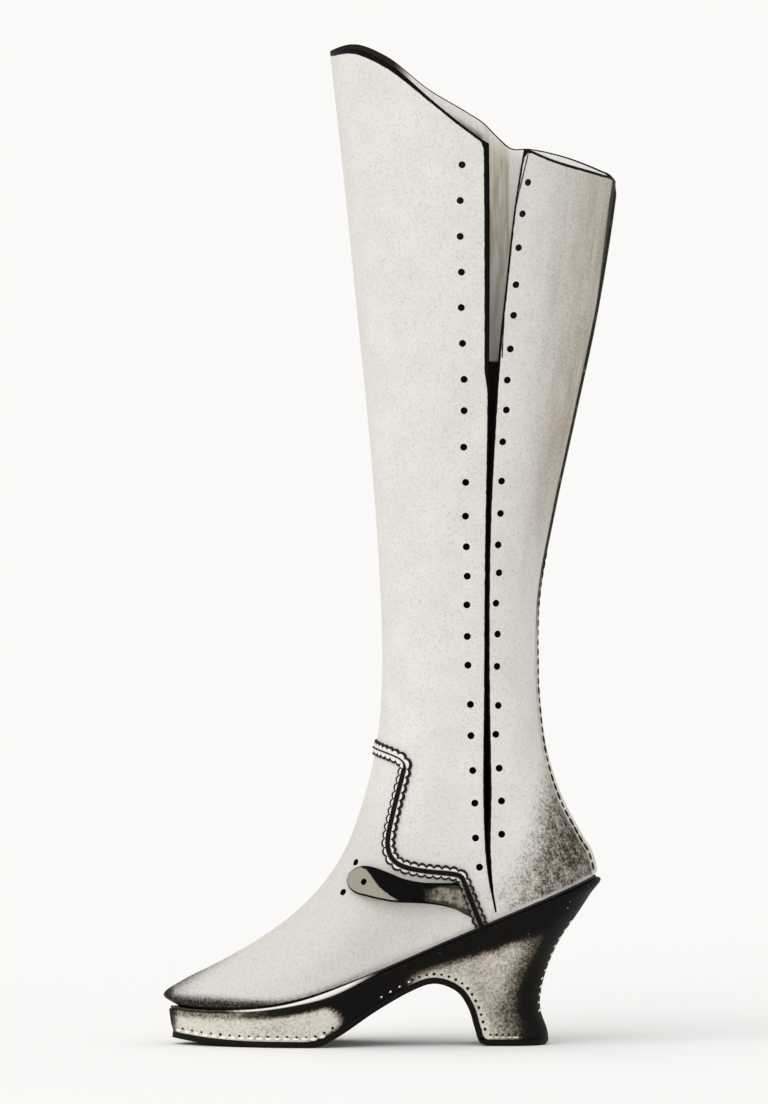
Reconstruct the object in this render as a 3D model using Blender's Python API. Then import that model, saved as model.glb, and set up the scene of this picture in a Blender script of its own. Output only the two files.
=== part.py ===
"""Buskin: a tall heeled boot of pale leather, open down one side and punched there for lacing.

The tables are in millimetres and put() turns them into metres. The toe points to -X, the open
side faces -Y, and the boot stands on Z = 0.
"""
import math
from collections import namedtuple

import bmesh
import bpy
import numpy as np

MM = 0.001

# Leather thicknesses and the small space left where two pieces meet
WALL = 2.2
SEAM_SPACE = 0.3
INSOLE_THICK = 2.2
OUTSOLE_THICK = 3.2
TOP_PIECE_THICK = 3.4
TRIM_THICK = 1.2
BRAID_THICK = 1.1
BACK_STRIP_THICK = 1.0
LATCHET_THICK = 1.6

# Line on which the upper meets the sole: level under the toes, then a straight slope to the heel
FEATHER_LEVEL = 20.2
FEATHER_SLOPE = 0.431
FEATHER_BEND_X = -59.2
FEATHER_SOFTNESS = 13.7
TOE_SPRING_X = -100.0
TOE_SPRING = 0.003

# Strip between upper and sole, thickest behind the ball of the foot
RAND_THICK = 1.4
RAND_SWELL = 1.9
RAND_SWELL_X = -33.0
RAND_SWELL_REACH = 17.0
RAND_WIDTH = 9.0
RAND_SET_IN = 0.8

# Punched holes
HOLE_ACROSS = 3.4
HOLE_SIDES = 8
VAMP_HOLES = ((-19.4, 104.5), (-26.1, 87.5))

# Rear edge of the opening curls outwards near the collar
FLARE = 5.0
FLARE_FROM_Z = 375.0
FLARE_TO_Z = 500.0
FLARE_REACH = 15.0

# Trim over the seam between vamp and leg
TRIM_HALF_WIDTH = 3.3
PINK_DEPTH = 0.7
PINK_PITCH = 4.4
BRAID_HALF_WIDTH = 1.3
BACK_STRIP_HALF_WIDTH = 4.5
BACK_STRIP_LOW_Z = 96.5

# Mesh fineness of the upper
FRONT_STRIPS = 9
REAR_STRIPS = 9
FOOT_LEVELS = (0, 0.5, 1, 1.5, 2, 2.5, 3, 3.5, 4, 4.5, 5, 5.5, 6, 7, 8, 9, 10)
SLIT_FROM = FOOT_LEVELS.index(1)
ANKLE_LEVEL = 10
LEG_RINGS = 10

# One row per ring round the boot: its front and back ends, how far along it the ball, waist and
# heel lie and how wide it is there (half widths), and how blunt its nose is (2 = an ellipse)
Ring = namedtuple(
    "Ring", "front_x front_z back_x back_z ball_at ball waist_at waist heel_at heel blunt")

UPPER_RINGS = (
    Ring(-118.7, 21.3, 114.2, 95.0, 0.294, 37.5, 0.655, 26.0, 0.870, 28.0, 1.60),   # feather edge
    Ring(-127.1, 28.0, 114.4, 98.5, 0.326, 39.0, 0.681, 27.8, 0.870, 29.0, 1.50),   # toe tip
    Ring(-115.4, 36.4, 113.2, 104.0, 0.302, 38.0, 0.686, 29.5, 0.864, 29.3, 1.60),
    Ring(-97.0, 45.6, 111.0, 109.5, 0.320, 36.8, 0.680, 31.0, 0.856, 29.6, 1.80),
    Ring(-76.0, 57.4, 107.8, 114.5, 0.330, 36.0, 0.670, 32.3, 0.832, 30.0, 1.80),   # vamp
    Ring(-56.0, 71.6, 103.3, 122.5, 0.349, 35.5, 0.660, 33.5, 0.810, 30.5, 1.80),
    Ring(-38.0, 89.6, 97.3, 133.5, 0.352, 36.0, 0.630, 34.3, 0.790, 31.0, 1.80),
    Ring(-24.0, 112.0, 91.3, 148.0, 0.360, 36.3, 0.618, 35.0, 0.755, 33.0, 1.85),   # instep
    Ring(-13.5, 142.5, 86.3, 166.0, 0.390, 36.3, 0.590, 35.7, 0.708, 34.5, 1.90),
    Ring(-6.8, 174.5, 83.1, 188.0, 0.426, 36.0, 0.536, 35.8, 0.624, 35.5, 2.00),
    Ring(-4.5, 211.4, 81.7, 211.4, 0.460, 36.0, 0.500, 36.0, 0.550, 36.0, 2.00),    # ankle
    Ring(-5.6, 253.0, 82.8, 253.0, 0.480, 37.5, 0.500, 37.5, 0.520, 37.5, 2.00),
    Ring(-8.4, 300.0, 91.3, 300.0, 0.480, 41.0, 0.500, 41.0, 0.520, 41.0, 2.00),
    Ring(-13.0, 354.0, 103.0, 354.0, 0.480, 47.0, 0.500, 47.0, 0.520, 47.0, 2.00),
    Ring(-19.0, 414.0, 115.6, 414.0, 0.480, 54.0, 0.500, 54.0, 0.520, 54.0, 2.00),  # calf
    Ring(-26.0, 484.0, 126.2, 484.0, 0.480, 60.5, 0.500, 60.5, 0.520, 60.5, 2.00),
    Ring(-34.5, 562.0, 133.0, 562.0, 0.480, 64.0, 0.500, 64.0, 0.520, 64.0, 2.00),  # above collar
)

SOLE_RINGS = (
    Ring(-120.8, 0.0, 88.6, 0.0, 0.348, 37.5, 0.720, 20.0, 0.905, 21.0, 1.60),      # ground
    Ring(-121.8, 7.5, 87.9, 8.0, 0.352, 38.0, 0.720, 19.5, 0.905, 19.8, 1.60),
    Ring(-122.8, 11.0, 83.9, 21.0, 0.360, 38.4, 0.730, 19.0, 0.910, 18.5, 1.60),    # heel's waist
    Ring(-123.2, 13.2, 86.0, 37.0, 0.358, 38.8, 0.725, 21.5, 0.905, 20.5, 1.60),
    Ring(-123.5, 15.4, 94.0, 57.0, 0.345, 39.1, 0.700, 24.5, 0.895, 24.0, 1.55),
    Ring(-123.8, 17.5, 106.0, 75.0, 0.330, 39.3, 0.665, 27.0, 0.890, 28.0, 1.55),
    Ring(-124.0, 19.9, 118.2, 93.9, 0.316, 39.5, 0.640, 28.5, 0.890, 31.0, 1.50),   # top
)

# Collar, seen from the side
Point = namedtuple("Point", "x z")
COLLAR = (
    Point(-36.0, 555.0), Point(-22.0, 558.0), Point(-4.0, 551.5), Point(24.6, 530.0),
    Point(54.0, 509.0), Point(75.6, 502.2), Point(98.6, 493.4), Point(134.0, 480.0),
)

# Edges of the side opening at each height
Slit = namedtuple("Slit", "z front_x rear_x")
SLIT = (
    Slit(60.0, 60.2, 61.2), Slit(76.0, 58.4, 59.4), Slit(90.0, 55.7, 57.2), Slit(110.0, 53.5, 55.6),
    Slit(139.0, 52.4, 56.0), Slit(190.0, 52.7, 55.2), Slit(230.0, 52.9, 54.9),
    Slit(300.0, 53.6, 56.0), Slit(341.0, 54.4, 58.0), Slit(381.0, 54.6, 60.5),
    Slit(432.0, 54.6, 65.4), Slit(472.0, 54.4, 69.8), Slit(520.0, 54.0, 77.6),
)

# Lacing rows along the opening, from the collar down: number of the hole and its place
Hole = namedtuple("Hole", "number x z")
FRONT_LACING = (
    Hole(0, 39.6, 494.5), Hole(6, 40.9, 374.0), Hole(10, 41.8, 297.6), Hole(14, 42.7, 230.3),
    Hole(18, 45.9, 155.2), Hole(21, 49.3, 101.0),
)
REAR_LACING = (
    Hole(0, 76.6, 484.4), Hole(4, 68.6, 410.1), Hole(8, 62.9, 339.2), Hole(12, 60.0, 265.8),
    Hole(16, 59.7, 191.6), Hole(20, 62.2, 119.4),
)

# Ground side of the outsole, from the toe to the foot of the heel's breast
SOLE_PROFILE = (
    Point(-122.3, 5.7), Point(-100.0, 2.0), Point(-76.0, 0.0), Point(-45.0, 0.0), Point(-30.0, 5.6),
    Point(-8.0, 20.2), Point(12.0, 31.4), Point(25.0, 35.3), Point(37.0, 30.8), Point(43.5, 21.5),
    Point(46.8, 11.0), Point(48.0, 3.9),
)

# Ground side of the heel's top piece
TOP_PIECE_PROFILE = (
    Point(48.2, 2.9), Point(49.2, 1.4), Point(51.4, 0.3), Point(54.0, 0.0), Point(62.0, 0.0),
    Point(70.0, 0.0), Point(77.0, 0.0), Point(82.0, 0.0), Point(85.6, 0.0), Point(87.6, 0.5),
    Point(88.6, 1.6),
)

# Middle line of the trim from the front of the ankle to the sole
TRIM_LINE = (
    Point(-16.0, 172.0), Point(-7.3, 168.4), Point(1.0, 164.9), Point(6.6, 161.8),
    Point(8.4, 158.2), Point(7.3, 152.3), Point(2.8, 133.5), Point(-0.2, 120.0),
    Point(-0.8, 112.5), Point(1.4, 106.0), Point(7.2, 101.8), Point(19.0, 99.2),
    Point(34.0, 97.6), Point(39.2, 96.0), Point(41.6, 91.6), Point(45.4, 81.6), Point(52.6, 64.0),
)

# Latchet from its sewn root to its loose end: place on the side of the boot, how far its middle
# stands off the leather, its width, how far its ends lean along it, and its twist in degrees
Strap = namedtuple("Strap", "x z off width lean twist")
LATCHET = (
    Strap(38.9, 83.0, 1.4, 15.6, -3.8, 0.0), Strap(34.0, 84.3, 2.0, 14.6, -1.8, 8.0),
    Strap(26.0, 85.7, 4.2, 13.6, -0.6, 24.0), Strap(16.0, 86.6, 6.2, 13.0, 0.0, 40.0),
    Strap(6.0, 87.5, 6.4, 13.4, 0.0, 40.0), Strap(-3.0, 89.2, 5.0, 14.8, 0.0, 22.0),
    Strap(-9.5, 91.0, 3.8, 15.8, 0.0, 8.0), Strap(-14.0, 92.0, 3.2, 15.8, 0.0, 2.0),
    Strap(-17.6, 92.8, 2.8, 13.6, 0.0, 0.0), Strap(-20.2, 93.3, 2.6, 9.8, 0.0, 0.0),
    Strap(-22.0, 93.6, 2.4, 3.4, 0.0, 0.0),
)
LATCHET_HOLE = Strap(-14.0, 92.0, 3.2, 4.2, 0.0, 2.0)

LOOKS = {
    "pale_leather": ((0.74, 0.70, 0.63), 0.55),
    "insole_leather": ((0.46, 0.36, 0.26), 0.70),
    "rand_leather": ((0.80, 0.77, 0.71), 0.55),
    "block_leather": ((0.30, 0.26, 0.22), 0.50),
    "outsole_leather": ((0.035, 0.028, 0.024), 0.45),
    "top_piece_leather": ((0.050, 0.040, 0.034), 0.55),
    "trim_leather": ((0.80, 0.77, 0.71), 0.60),
    "braid": ((0.030, 0.026, 0.024), 0.80),
    "strip_leather": ((0.66, 0.62, 0.55), 0.55),
    "latchet_leather": ((0.34, 0.30, 0.26), 0.60),
}


# Curves

def smooth(knots, values, at):
    """A smooth curve through the table's values."""
    knots = np.asarray(knots, float)
    values = np.asarray(values, float)
    slopes = np.gradient(values, knots, axis=0)
    k = min(max(int(np.searchsorted(knots, at)) - 1, 0), len(knots) - 2)
    step = knots[k + 1] - knots[k]
    t = (at - knots[k]) / step
    start = values[k] * (1 + 2 * t) * (1 - t) ** 2 + slopes[k] * step * t * (1 - t) ** 2
    end = values[k + 1] * t * t * (3 - 2 * t) - slopes[k + 1] * step * t * t * (1 - t)
    return start + end


def column(table, name):
    """One named column of a table."""
    return [getattr(row, name) for row in table]


def mix(a, b, share):
    """The value a given share of the way from a to b."""
    return a + (b - a) * share


def ease(t):
    """A soft step from 0 to 1."""
    t = min(max(t, 0.0), 1.0)
    return t * t * (3 - 2 * t)


def solve(low, high, reached):
    """The place between low and high from which reached() holds."""
    for _ in range(40):
        middle = (low + high) / 2
        if reached(middle):
            high = middle
        else:
            low = middle
    return (low + high) / 2


def curve_points(table, per_span):
    """A table of side-view points drawn out into a smooth line."""
    knots = np.arange(len(table))
    count = (len(table) - 1) * per_span
    return [smooth(knots, np.array(table), i / per_span) for i in range(count + 1)]


def sideways(line, i):
    """The unit normal of a side-view line at its point i, to the left of its run."""
    run = line[min(i + 1, len(line) - 1)] - line[max(i - 1, 0)]
    return np.array((-run[1], run[0])) / np.hypot(*run)


# The form of the last and of the sole

def feather(x):
    """Height of the line on which upper and sole meet."""
    bend = FEATHER_SOFTNESS * math.log1p(math.exp((x - FEATHER_BEND_X) / FEATHER_SOFTNESS))
    return FEATHER_LEVEL + FEATHER_SLOPE * bend + TOE_SPRING * min(x - TOE_SPRING_X, 0.0) ** 2


def rand_thick(x):
    """Thickness of the strip between upper and sole."""
    return RAND_THICK + RAND_SWELL * math.exp(-((x - RAND_SWELL_X) / RAND_SWELL_REACH) ** 2)


def ring_at(rings, level):
    """The table's row at any level between its rows."""
    return Ring(*smooth(np.arange(len(rings)), np.array(rings), level))


def half_width(ring, share):
    """Half width of a ring, a share of the way from its front to its back."""
    nose = (1 - max(0.0, 1 - share / ring.ball_at) ** ring.blunt) ** (1 / ring.blunt)
    back = math.sqrt(1 - max(0.0, 1 - (1 - share) / (1 - ring.heel_at)) ** 2)
    side = mix(ring.ball, ring.waist, ease((share - ring.ball_at) / (ring.waist_at - ring.ball_at)))
    side += (ring.heel - ring.waist) * ease((share - ring.waist_at) / (ring.heel_at - ring.waist_at))
    return side * nose * back


def ring_height(ring, share):
    """Height of a ring: straight from front to back, bowed as the feather line is."""
    x = mix(ring.front_x, ring.back_x, share)
    bow = feather(x) - mix(feather(ring.front_x), feather(ring.back_x), share)
    return mix(ring.front_z, ring.back_z, share) + bow


def share_at(ring, x):
    """How far along a ring x lies."""
    return min(max((x - ring.front_x) / (ring.back_x - ring.front_x), 0.0), 1.0)


def width_at(rings, x, z):
    """Half width of a form at a place in its side view."""
    def reached(level):
        ring = ring_at(rings, level)
        return ring_height(ring, share_at(ring, x)) > z

    ring = ring_at(rings, solve(0, len(rings) - 1, reached))
    return half_width(ring, share_at(ring, x))


def slit_x(edge, z):
    """Front or rear edge of the side opening."""
    return float(smooth(column(SLIT, "z"), column(SLIT, edge), z))


def flare(x, z):
    """How far the rear edge of the opening curls outwards."""
    behind = max(x - slit_x("rear_x", z), 0.0)
    rise = ease((z - FLARE_FROM_Z) / (FLARE_TO_Z - FLARE_FROM_Z))
    return FLARE * rise * math.exp(-(behind / FLARE_REACH) ** 2)


def near_side(x, z):
    """The point of the upper's open side at a place in the side view."""
    y = width_at(UPPER_RINGS, x, z)
    if x > slit_x("front_x", z) + 0.1:
        y += flare(x, z)
    return np.array((x, -y, z))


def near_normal(x, z):
    """The upper's outward direction there."""
    step = 0.5
    along = near_side(x + step, z) - near_side(x - step, z)
    up = near_side(x, z + step) - near_side(x, z - step)
    out = np.cross(along, up)
    return out / np.linalg.norm(out)


def unit(vectors):
    """Vectors of length 1."""
    return vectors / np.linalg.norm(vectors, axis=-1, keepdims=True)


# The upper's surface as a net of points: rings upwards, strips round from the front

def slit_turn(level, edge):
    """Angle round the ring at which an edge of the side opening lies."""
    ring = ring_at(UPPER_RINGS, level)
    share = 0.6
    for _ in range(8):
        share = share_at(ring, slit_x(edge, ring_height(ring, share)))
    return math.acos(1 - 2 * share)


def strip_turns(level):
    """Angles of all strips: the open side from front to back, then the closed side forwards."""
    front = slit_turn(level, "front_x")
    rear = slit_turn(level, "rear_x")
    count = FRONT_STRIPS + REAR_STRIPS
    turns = [front * i / FRONT_STRIPS for i in range(FRONT_STRIPS + 1)]
    turns += [mix(rear, math.pi, i / REAR_STRIPS) for i in range(REAR_STRIPS + 1)]
    turns += [math.pi + math.pi * i / (count + 1) for i in range(1, count + 1)]
    return turns


def skin_point(level, strip):
    """A point of the upper's outside."""
    turn = strip_turns(level)[strip]
    share = (1 - math.cos(turn)) / 2
    ring = ring_at(UPPER_RINGS, level)
    x = mix(ring.front_x, ring.back_x, share)
    y = half_width(ring, share)
    z = ring_height(ring, share)
    if turn > math.pi:
        return x, y, z
    if strip > FRONT_STRIPS:
        y += flare(x, z)
    return x, -y, z


def collar_level(strip):
    """Level at which a strip reaches the collar."""
    def reached(level):
        x, _, z = skin_point(level, strip)
        return z > smooth(column(COLLAR, "x"), column(COLLAR, "z"), x)

    return solve(ANKLE_LEVEL, len(UPPER_RINGS) - 1, reached)


def skin_net():
    """Points and outward normals of the whole outside."""
    strips = len(strip_turns(ANKLE_LEVEL))
    tops = [collar_level(strip) for strip in range(strips)]
    rows = [[skin_point(level, strip) for strip in range(strips)] for level in FOOT_LEVELS]
    for i in range(1, LEG_RINGS + 1):
        rows.append([skin_point(mix(ANKLE_LEVEL, top, i / LEG_RINGS), strip)
                     for strip, top in enumerate(tops)])
    points = np.array(rows)
    around = np.roll(points, -1, axis=1) - np.roll(points, 1, axis=1)
    up = np.gradient(points, axis=0)
    normals = np.cross(around, up)
    normals[0, :, 2] = 0.0
    return points, unit(normals)


# Blender objects

def put(name, points, faces, look):
    """A closed, triangulated object in metres."""
    mesh = bpy.data.meshes.new(name)
    mesh.from_pydata([tuple(MM * c for c in point) for point in points], [], faces)
    work = bmesh.new()
    work.from_mesh(mesh)
    bmesh.ops.recalc_face_normals(work, faces=work.faces)
    bmesh.ops.triangulate(work, faces=work.faces)
    work.to_mesh(mesh)
    work.free()
    piece = bpy.data.objects.new(name, mesh)
    bpy.context.scene.collection.objects.link(piece)
    if look:
        mesh.materials.append(material(look))
    return piece


def material(look):
    """A plain finish of one colour."""
    color, roughness = LOOKS[look]
    finish = bpy.data.materials.new(look)
    finish.use_nodes = True
    shader = finish.node_tree.nodes["Principled BSDF"]
    shader.inputs["Base Color"].default_value = (*color, 1.0)
    shader.inputs["Roughness"].default_value = roughness
    finish.diffuse_color = (*color, 1.0)
    return finish


def cut(piece, tool, how):
    """Cut a piece with a tool, or keep only what lies inside the tool."""
    step = piece.modifiers.new(how.title(), "BOOLEAN")
    step.operation = how
    step.solver = "EXACT"
    step.object = tool
    tool.hide_render = True
    tool.display_type = "WIRE"


def band(lower, upper_row, count):
    """Faces between two rings of points that run on from the numbers given."""
    return [(lower + i, lower + (i + 1) % count, upper_row + (i + 1) % count, upper_row + i)
            for i in range(count)]


def prism(name, outline, half_depth):
    """A side-view outline drawn out across the boot, as a cutting tool."""
    count = len(outline)
    points = [(x, y, z) for y in (-half_depth, half_depth) for x, z in outline]
    faces = [tuple(range(count)), tuple(range(2 * count - 1, count - 1, -1))]
    return put(name, points, faces + band(0, count, count), None)


def loft(name, rings, look):
    """A solid through stations of four or more points each, closed at both ends."""
    count = len(rings[0])
    points = [point for ring in rings for point in ring]
    faces = [tuple(range(count)), tuple(range(len(points) - count, len(points)))]
    for i in range(len(rings) - 1):
        faces += band(i * count, (i + 1) * count, count)
    return put(name, points, faces, look)


def ladder(loop, count):
    """Faces across a loop that is the same on both sides, from its front point to its back."""
    half = count // 2
    faces = [(loop, loop + 1, loop + count - 1), (loop + half - 1, loop + half, loop + half + 1)]
    for i in range(1, half - 1):
        faces.append((loop + i, loop + i + 1, loop + count - i - 1, loop + count - i))
    return faces


def hole_tool(name, spots, across):
    """Round cutters through the leather at the places given, each with its own direction."""
    points = []
    faces = []
    reach = 3 * WALL
    for centre, axis in spots:
        side = unit(np.cross(axis, (0.0, 0.0, 1.0)))
        rise = np.cross(side, axis)
        first = len(points)
        for depth in (-reach, reach):
            for i in range(HOLE_SIDES):
                turn = 2 * math.pi * (i + 0.5) / HOLE_SIDES
                spoke = math.cos(turn) * side + math.sin(turn) * rise
                points.append(centre + depth * axis + across / 2 * spoke)
        faces.append(tuple(range(first, first + HOLE_SIDES)))
        faces.append(tuple(range(first + 2 * HOLE_SIDES - 1, first + HOLE_SIDES - 1, -1)))
        faces += band(first, first + HOLE_SIDES, HOLE_SIDES)
    return put(name, points, faces, None)


# Upper

def lacing_spots():
    """Side-view places of the holes: both lacing rows and the two in the vamp."""
    spots = list(VAMP_HOLES)
    for row in (FRONT_LACING, REAR_LACING):
        places = np.array(row)[:, 1:]
        for number in range(row[-1].number + 1):
            spots.append(tuple(smooth(column(row, "number"), places, number)))
    return spots


def make_upper(points, normals):
    """The leather wall: outside, inside, collar, feather edge and the edges of the opening."""
    rows, strips, _ = points.shape
    inside = rows * strips
    before = FRONT_STRIPS
    net = np.concatenate((points.reshape(-1, 3), (points - WALL * normals).reshape(-1, 3)))
    faces = []

    def at(row, strip):
        return row * strips + strip % strips

    for row in range(rows - 1):
        for strip in range(strips):
            if strip == before and row >= SLIT_FROM:
                continue
            face = (at(row, strip), at(row, strip + 1), at(row + 1, strip + 1), at(row + 1, strip))
            faces.append(face)
            faces.append(tuple(inside + corner for corner in reversed(face)))
    for row in (0, rows - 1):
        for strip in range(strips):
            if strip == before and row > 0:
                continue
            a, b = at(row, strip), at(row, strip + 1)
            faces.append((a, b, inside + b, inside + a))
    for row in range(SLIT_FROM, rows - 1):
        for strip in (before, before + 1):
            a, b = at(row, strip), at(row + 1, strip)
            faces.append((a, b, inside + b, inside + a))
    a, b = at(SLIT_FROM, before), at(SLIT_FROM, before + 1)
    faces.append((a, b, inside + b, inside + a))
    upper = put("upper", net, faces, "pale_leather")
    spots = [(near_side(x, z), near_normal(x, z)) for x, z in lacing_spots()]
    cut(upper, hole_tool("upper_holes", spots, HOLE_ACROSS), "DIFFERENCE")


# Pieces that lie on the upper, cut from a second skin over it

def second_skin(name, points, normals, low, high, look):
    """A closed layer over the upper between two distances from it."""
    rows, strips, _ = points.shape
    net = np.concatenate([(points + d * normals).reshape(-1, 3) for d in (low, high)])
    faces = []
    for layer in (0, rows * strips):
        for row in range(rows - 1):
            faces += band(layer + row * strips, layer + (row + 1) * strips, strips)
    for row in (0, rows - 1):
        faces += band(row * strips, rows * strips + row * strips, strips)
    return put(name, net, faces, look)


def ribbon_outline(half, depth, pitch):
    """Side-view outline of a band along the trim line, its edges pinked by the depth given."""
    line = curve_points(TRIM_LINE, 12)
    runs = np.cumsum([0.0] + [np.hypot(*(b - a)) for a, b in zip(line, line[1:])])
    count = int(runs[-1] / pitch * 2)
    edges = ([], [])
    for i in range(count + 1):
        place = runs[-1] * i / count
        k = int(np.clip(np.searchsorted(runs, place), 1, len(line) - 1))
        spot = mix(line[k - 1], line[k], (place - runs[k - 1]) / (runs[k] - runs[k - 1]))
        reach = half + (depth if i % 2 else -depth) / 2
        edges[0].append(spot + reach * sideways(line, k))
        edges[1].append(spot - reach * sideways(line, k))
    return edges[0] + edges[1][::-1]


def make_trim(points, normals):
    """The pinked strip over the seam and the braid along its middle."""
    rows = FOOT_LEVELS.index(ANKLE_LEVEL) + 1
    points, normals = points[:rows], normals[:rows]
    depth = 2 * UPPER_RINGS[0].ball
    low = SEAM_SPACE
    trim = second_skin("seam_trim", points, normals, low, low + TRIM_THICK, "trim_leather")
    outline = ribbon_outline(TRIM_HALF_WIDTH, PINK_DEPTH, PINK_PITCH)
    cut(trim, prism("trim_tool", outline, depth), "INTERSECT")
    low += TRIM_THICK + SEAM_SPACE
    braid = second_skin("seam_braid", points, normals, low, low + BRAID_THICK, "braid")
    outline = ribbon_outline(BRAID_HALF_WIDTH, 0.0, 2 * PINK_PITCH)
    cut(braid, prism("braid_tool", outline, depth), "INTERSECT")


def make_back_strip(points, normals):
    """The strip over the back seam."""
    half = BACK_STRIP_HALF_WIDTH
    back = UPPER_RINGS[ANKLE_LEVEL].waist + 2 * half
    high = UPPER_RINGS[-1].front_z
    strip = second_skin("back_strip", points, normals, SEAM_SPACE,
                        SEAM_SPACE + BACK_STRIP_THICK, "strip_leather")
    low = BACK_STRIP_LOW_Z
    box = [(back, low), (3 * back, low), (3 * back, high), (back, high)]
    cut(strip, prism("back_strip_tool", box, half), "INTERSECT")


def make_latchet():
    """The loose strap, from its sewn root along the vamp to its round end."""
    middles = [near_side(row.x, row.z) + row.off * near_normal(row.x, row.z) for row in LATCHET]
    stations = []
    for i, row in enumerate(LATCHET):
        across, out, along = strap_axes(middles, i, row)
        station = []
        for edge, face in ((-1, -1), (1, -1), (1, 1), (-1, 1)):
            reach = edge * row.width / 2 * across + edge * row.lean * along
            station.append(middles[i] + reach + face * LATCHET_THICK / 2 * out)
        stations.append(station)
    strap = loft("latchet", stations, "latchet_leather")
    spot = LATCHET_HOLE
    near = min(range(len(LATCHET)), key=lambda i: abs(LATCHET[i].x - spot.x))
    centre = near_side(spot.x, spot.z) + spot.off * near_normal(spot.x, spot.z)
    out = strap_axes(middles, near, spot)[1]
    cut(strap, hole_tool("latchet_hole", [(centre, out)], spot.width), "DIFFERENCE")


def strap_axes(middles, i, row):
    """Directions across the strap, out of its face and along it."""
    last = len(middles) - 1
    along = unit(middles[min(i + 1, last)] - middles[max(i - 1, 0)])
    out = near_normal(row.x, row.z)
    out = unit(out - np.dot(out, along) * along)
    across = np.cross(out, along)
    turn = math.radians(row.twist)
    return (math.cos(turn) * across + math.sin(turn) * out,
            math.cos(turn) * out - math.sin(turn) * across, along)


# Sole

def sole_ring(level, inset, height):
    """Points round the sole at a level, drawn in by the inset, at a height given or its own."""
    ring = ring_at(SOLE_RINGS, level)
    ring = ring._replace(
        front_x=ring.front_x + inset, back_x=ring.back_x - inset, ball=ring.ball - inset,
        waist=ring.waist - inset, heel=ring.heel - inset)
    return ring_points(ring, height)


def ring_points(ring, height):
    """Points round a ring that is the same on both sides."""
    half = FRONT_STRIPS + REAR_STRIPS + 2
    points = []
    for i in range(2 * half):
        share = (1 - math.cos(math.pi * i / half)) / 2
        x = mix(ring.front_x, ring.back_x, share)
        side = -1 if i < half else 1
        z = height(x) if height else ring_height(ring, share)
        points.append((x, side * half_width(ring, share), z))
    return points


def stack(name, rings, look):
    """A solid through rings from the bottom to the top, closed across both."""
    count = len(rings[0])
    points = [point for ring in rings for point in ring]
    faces = ladder(0, count) + ladder(len(points) - count, count)
    for i in range(len(rings) - 1):
        faces += band(i * count, (i + 1) * count, count)
    return put(name, points, faces, look)


def rand_top(x):
    """Upper side of the strip between upper and sole."""
    return feather(x) - SEAM_SPACE


def rand_bottom(x):
    """Its lower side."""
    return rand_top(x) - rand_thick(x)


def block_edge(x):
    """Edge of the block on which that strip lies."""
    return rand_bottom(x) - SEAM_SPACE


def make_block():
    """Platform, waist and heel in one, with a raised middle inside the strip round its top."""
    top = len(SOLE_RINGS) - 1
    rise = RAND_WIDTH + SEAM_SPACE
    rings = [sole_ring(i / 2, 0.0, None) for i in range(2 * top - 1)]
    rings.append(sole_ring(top, 0.0, block_edge))
    rings.append(sole_ring(top, rise, block_edge))
    rings.append(sole_ring(top, rise, rand_top))
    block = stack("sole_block", rings, "block_leather")
    line = curve_points(SOLE_PROFILE, 4)
    far = OUTSOLE_THICK + SEAM_SPACE
    under = [np.array((p[0], max(p[1], 0.0))) for p in line]
    roof = [p + far * sideways(under, i) for i, p in enumerate(under)]
    base = TOP_PIECE_THICK + SEAM_SPACE
    roof = [p for p in roof if p[1] > base or p[0] < 0]
    outline = [np.array((-200.0, roof[0][1] + 10.0))] + roof
    outline += [np.array((roof[-1][0] + 0.5, base)), np.array((200.0, base))]
    outline += [np.array((200.0, -20.0)), np.array((-200.0, -20.0))]
    cut(block, prism("block_tool", outline, 80.0), "DIFFERENCE")


def make_outsole():
    """The dark sole under forefoot and waist and down the breast of the heel."""
    line = [np.array((p[0], max(p[1], 0.0))) for p in curve_points(SOLE_PROFILE, 4)]
    stations = []
    for i, ground in enumerate(line):
        inner = ground + OUTSOLE_THICK * sideways(line, i)
        half = width_at(SOLE_RINGS, inner[0], max(inner[1], 0.5)) + 0.4
        station = []
        for side, place in ((-1, ground), (1, ground), (1, inner), (-1, inner)):
            station.append((place[0], side * half, place[1]))
        stations.append(station)
    loft("outsole", stations, "outsole_leather")


def make_top_piece():
    """The lift under the heel."""
    stations = []
    for x, z in TOP_PIECE_PROFILE:
        half = width_at(SOLE_RINGS, x, 0.5) + 0.4
        stations.append([(x, -half, z), (x, half, z), (x, half, TOP_PIECE_THICK),
                         (x, -half, TOP_PIECE_THICK)])
    loft("heel_top_piece", stations, "top_piece_leather")


def make_rand():
    """The pale strip between upper and sole, all round."""
    top = len(SOLE_RINGS) - 1
    loops = [sole_ring(top, inset, height) for inset, height in (
        (RAND_SET_IN, rand_bottom), (RAND_SET_IN, rand_top),
        (RAND_WIDTH, rand_top), (RAND_WIDTH, rand_bottom))]
    count = len(loops[0])
    faces = []
    for i in range(len(loops)):
        faces += band(i * count, (i + 1) % len(loops) * count, count)
    put("rand", [point for loop in loops for point in loop], faces, "rand_leather")


def make_insole():
    """The board inside the upper."""
    ring = UPPER_RINGS[0]
    inset = WALL + 4 * SEAM_SPACE
    ring = ring._replace(
        front_x=ring.front_x + inset, back_x=ring.back_x - inset, ball=ring.ball - inset,
        waist=ring.waist - inset, heel=ring.heel - inset)
    rings = [ring_points(ring, lambda x, up=up: feather(x) + up) for up in (0.0, INSOLE_THICK)]
    stack("insole", rings, "insole_leather")


def main():
    """Build every piece."""
    for old in list(bpy.data.objects):
        bpy.data.objects.remove(old, do_unlink=True)
    points, normals = skin_net()
    make_upper(points, normals)
    make_insole()
    make_rand()
    make_block()
    make_outsole()
    make_top_piece()
    make_trim(points, normals)
    make_back_strip(points, normals)
    make_latchet()


main()
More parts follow.
